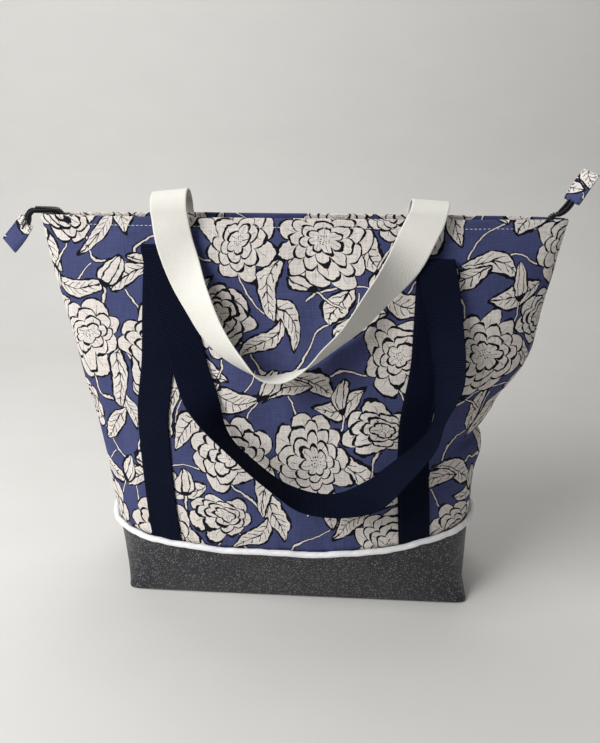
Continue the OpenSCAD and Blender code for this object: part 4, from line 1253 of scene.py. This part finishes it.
def slider_parts(parts):
    """Cover, sole and the post between them, then a flange and an ear on each side, and the pin."""
    half = SLIDER_L / 2
    cover = rounded(-half, half, SLIDER_W / 2, COVER_CORNER)
    bevelled_plate(parts, [cover], COVER_T, 0.4, moved(0, COVER_Z + COVER_T / 2))
    sole = rounded(-half, half, SOLE_W / 2, SOLE_CORNER)
    bevelled_plate(parts, [sole], SOLE_T, 0.25, moved(0, SOLE_Z + SOLE_T / 2))
    post = rounded(-half, -half / 3, (COVER_Z - SOLE_Z) / 2 + POST_LAP, POST_CORNER)
    bevelled_plate(parts, [post], FLANGE_T, 0.1, moved(0, (COVER_Z + SOLE_Z) / 2 + POST_LIFT) @ UPRIGHT)
    foot, head, head_z = half - FLANGE_LAP, half - FLANGE_LAP / 2, COVER_Z + FLANGE_LAP
    flange = [(-foot, FLANGE_LOW), (foot, FLANGE_LOW), (head, head_z), (-head, head_z)]
    ear = [(PIN_X + PIN_D * math.cos(a), PIN_Z + PIN_D * math.sin(a)) for a in np.linspace(0, math.pi, 13)]
    ear += [(PIN_X - PIN_D, COVER_Z + EAR_LAP), (PIN_X + PIN_D, COVER_Z + EAR_LAP)]
    for s in (-1, 1):
        bevelled_plate(parts, [flange], FLANGE_T, 0.2, moved(s * (SLIDER_W - FLANGE_T) / 2, 0) @ UPRIGHT)
        bevelled_plate(parts, [ear], EAR_T, 0.2, moved(s * (EAR_Y + EAR_T / 2), 0) @ UPRIGHT)
    bevelled_plate(parts, [circle(PIN_X, PIN_Z, PIN_D / 2)], 2 * EAR_Y + EAR_T, 0.1, UPRIGHT)


def pull_parts(parts):
    """A thick eye round the pin, and a flat blade with a neck, a round tip and a hole."""
    droop = Matrix.Translation((PIN_X, 0, PIN_Z)) @ Matrix.Rotation(math.radians(PULL_DROOP), 4, "Y")
    eye = [circle(0, 0, EYE_R), circle(0, 0, PIN_D / 2 + EYE_PLAY)]
    bevelled_plate(parts, eye, EYE_W, 0.25, droop @ UPRIGHT)
    half, shoulder, tip_x = PULL_W / 2, NECK_L + NECK_RUN, PULL_L - PULL_W / 2
    neck = [(EYE_R - NECK_LAP, EYE_W / 2), (EYE_R - NECK_LAP, -EYE_W / 2), (NECK_L, -EYE_W / 2)]
    tip = [(tip_x + half * math.cos(a), half * math.sin(a)) for a in np.radians(np.linspace(-90, 90, 17))]
    blade = neck + [(shoulder, -half)] + tip + [(shoulder, half), (NECK_L, EYE_W / 2)]
    bevelled_plate(parts, [blade, circle(tip_x, 0, half / 2)], PULL_T, 0.3, droop)


casting("slider_body", slider_parts, "zip_slider")
casting("pull_tab", pull_parts, "zip_pull")

# Zip ends
# The tapes run on past both corners, and each pair of ends is folded into a tab of the printed cotton,
# stitched through. The left one flops out and down, the right one stands up.
TAIL_W = {LEFT: 12.0, RIGHT: 8.0}
TAIL_T, TAIL_GROW, TAIL_BEND = 0.8, 6.0, 9.0
COIL_SEAM = 1.9
TAB_W, TAB_T = 18.0, 3.0
TAB_PRINT, TAB_PRINT_L, TAB_PRINT_V, TAB_TURN_V = {LEFT: 3.0, RIGHT: 37.0}, 30, 60, 12
TAB_SEAM, SEAM_SINK, SINK_W = 0.8, 0.45, 0.06
TAB_THREAD_LIFT = 0.34
# Each point is out from the last sewn place, up from it, and the roll of the tape in degrees.
TAILS = {
    LEFT: ("left", LEFT_HINGE_X, [(0.0, 0, 30), (4, -2.5, 40), (7.5, -8, 54), (13.2, -15.1, 66)],
           [(7.5, -8.5, 62), (17, -19.5, 68), (28, -30.5, 72)]),
    RIGHT: ("right", RIGHT_HINGE_X, [(0.0, 0, 0), (3, 3.4, 25), (5.8, 7, 32), (8.9, 11.9, 27)],
            [(8.4, 11.0, 27), (14, 22.7, 27), (20.5, 34.2, 27)]),
}


def tail_frame(route, hand, hinge):
    """Even points along a zip end, the directions across it and its upper normals."""
    rows = spread_points([(out, 0, up, roll) for out, up, roll in route], 0.8)
    path = hinge + rows[:, :3] * [hand, 1, 1]
    along = unit(np.gradient(path, axis=0))
    roll = np.radians(rows[:, 3])[:, None]
    level = np.broadcast_to([0.0, 1, 0], path.shape)
    across = unit(level * np.cos(roll) + np.cross(along, level) * hand * np.sin(roll))
    return path, across, unit(np.cross(along, across)) * hand


for hand, (label, hinge_x, tail_route, tab_route) in TAILS.items():
    hinge = np.array([hinge_x, 0, HINGE_Z])
    path, across, normal = tail_frame(tail_route, hand, hinge)
    grow = ease(running_length(path) / TAIL_GROW)[:, None]
    wide = np.array([-1, -0.97, -0.5, -0.12, 0.12, 0.5, 0.97, 1, 0.97, 0, -0.97])
    wide = wide * mix(TAPE_EDGE, TAIL_W[hand] / 2, grow)
    high = TAIL_T / 2 * np.array([0, 1, 1, 0.6, 0.6, 1, 1, 0, -1, -1, -1])
    points = path[:, None] + across[:, None] * wide[..., None] + normal[:, None] * high[:, None]
    uv = np.stack(np.broadcast_arrays(running_length(path)[:, None], wide + high), -1)
    tail = grid_piece(label + "_tape_end", points, zip_tape, uv, closed=True)
    body = label + "_zip_tail"
    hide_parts(label + "_tail_tape")
    spine = path + normal * TAIL_T / 2
    seams = [(path + across * edge * COIL_SEAM - normal * TAIL_T / 2, -normal) for edge in (-1, 1)]
    ends = [coil_half("%s_%s_tail_coil" % (label, name), spine, across, side) for side, name in SIDES]
    for piece in [tail, stitches(label + "_coil_stitches", seams, grey_thread)] + ends:
        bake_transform(piece)

    path, across, normal = tail_frame(tab_route, hand, hinge)
    run = running_length(path) / running_length(path)[-1]
    fullness = np.sqrt(np.clip(1 - np.abs(2 * run - 1) ** 6, 0.02, 1))
    around = np.linspace(0, 2 * math.pi, 28, endpoint=False)
    flat = np.sign(np.cos(around)) * np.abs(np.cos(around)) ** 0.35
    puff = np.sign(np.sin(around)) * np.abs(np.sin(around)) ** 0.6
    width = TAB_W / 2 * (0.95 + 0.05 * fullness)
    seam_dip = 1 - SEAM_SINK * np.exp(-((np.abs(flat) - TAB_SEAM) / SINK_W) ** 2)
    points = (path[:, None] + across[:, None] * (flat * width[:, None])[..., None]
              + normal[:, None] * (puff * seam_dip * TAB_T / 2 * fullness[:, None])[..., None])
    print_along = run[:, None] * TAB_PRINT_L + TAB_PRINT[hand]
    print_over_tab = flat * TAB_W / 2 + TAB_PRINT_V + TAB_TURN_V * (puff < 0)
    uv = np.stack(np.broadcast_arrays(print_along, print_over_tab), -1)
    tab = grid_piece(label + "_cotton_tab", points, cotton, uv, closed=True)
    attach(tab, body)
    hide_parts(label + "_tail_tab")
    rows = []
    for edge in (-1, 1):
        for face in (-1, 1):
            place = path + across * edge * TAB_SEAM * TAB_W / 2 + normal * face * TAB_THREAD_LIFT * TAB_T
            rows.append((place, normal * face))
    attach(stitches(label + "_tab_stitches", rows, navy_thread), body)
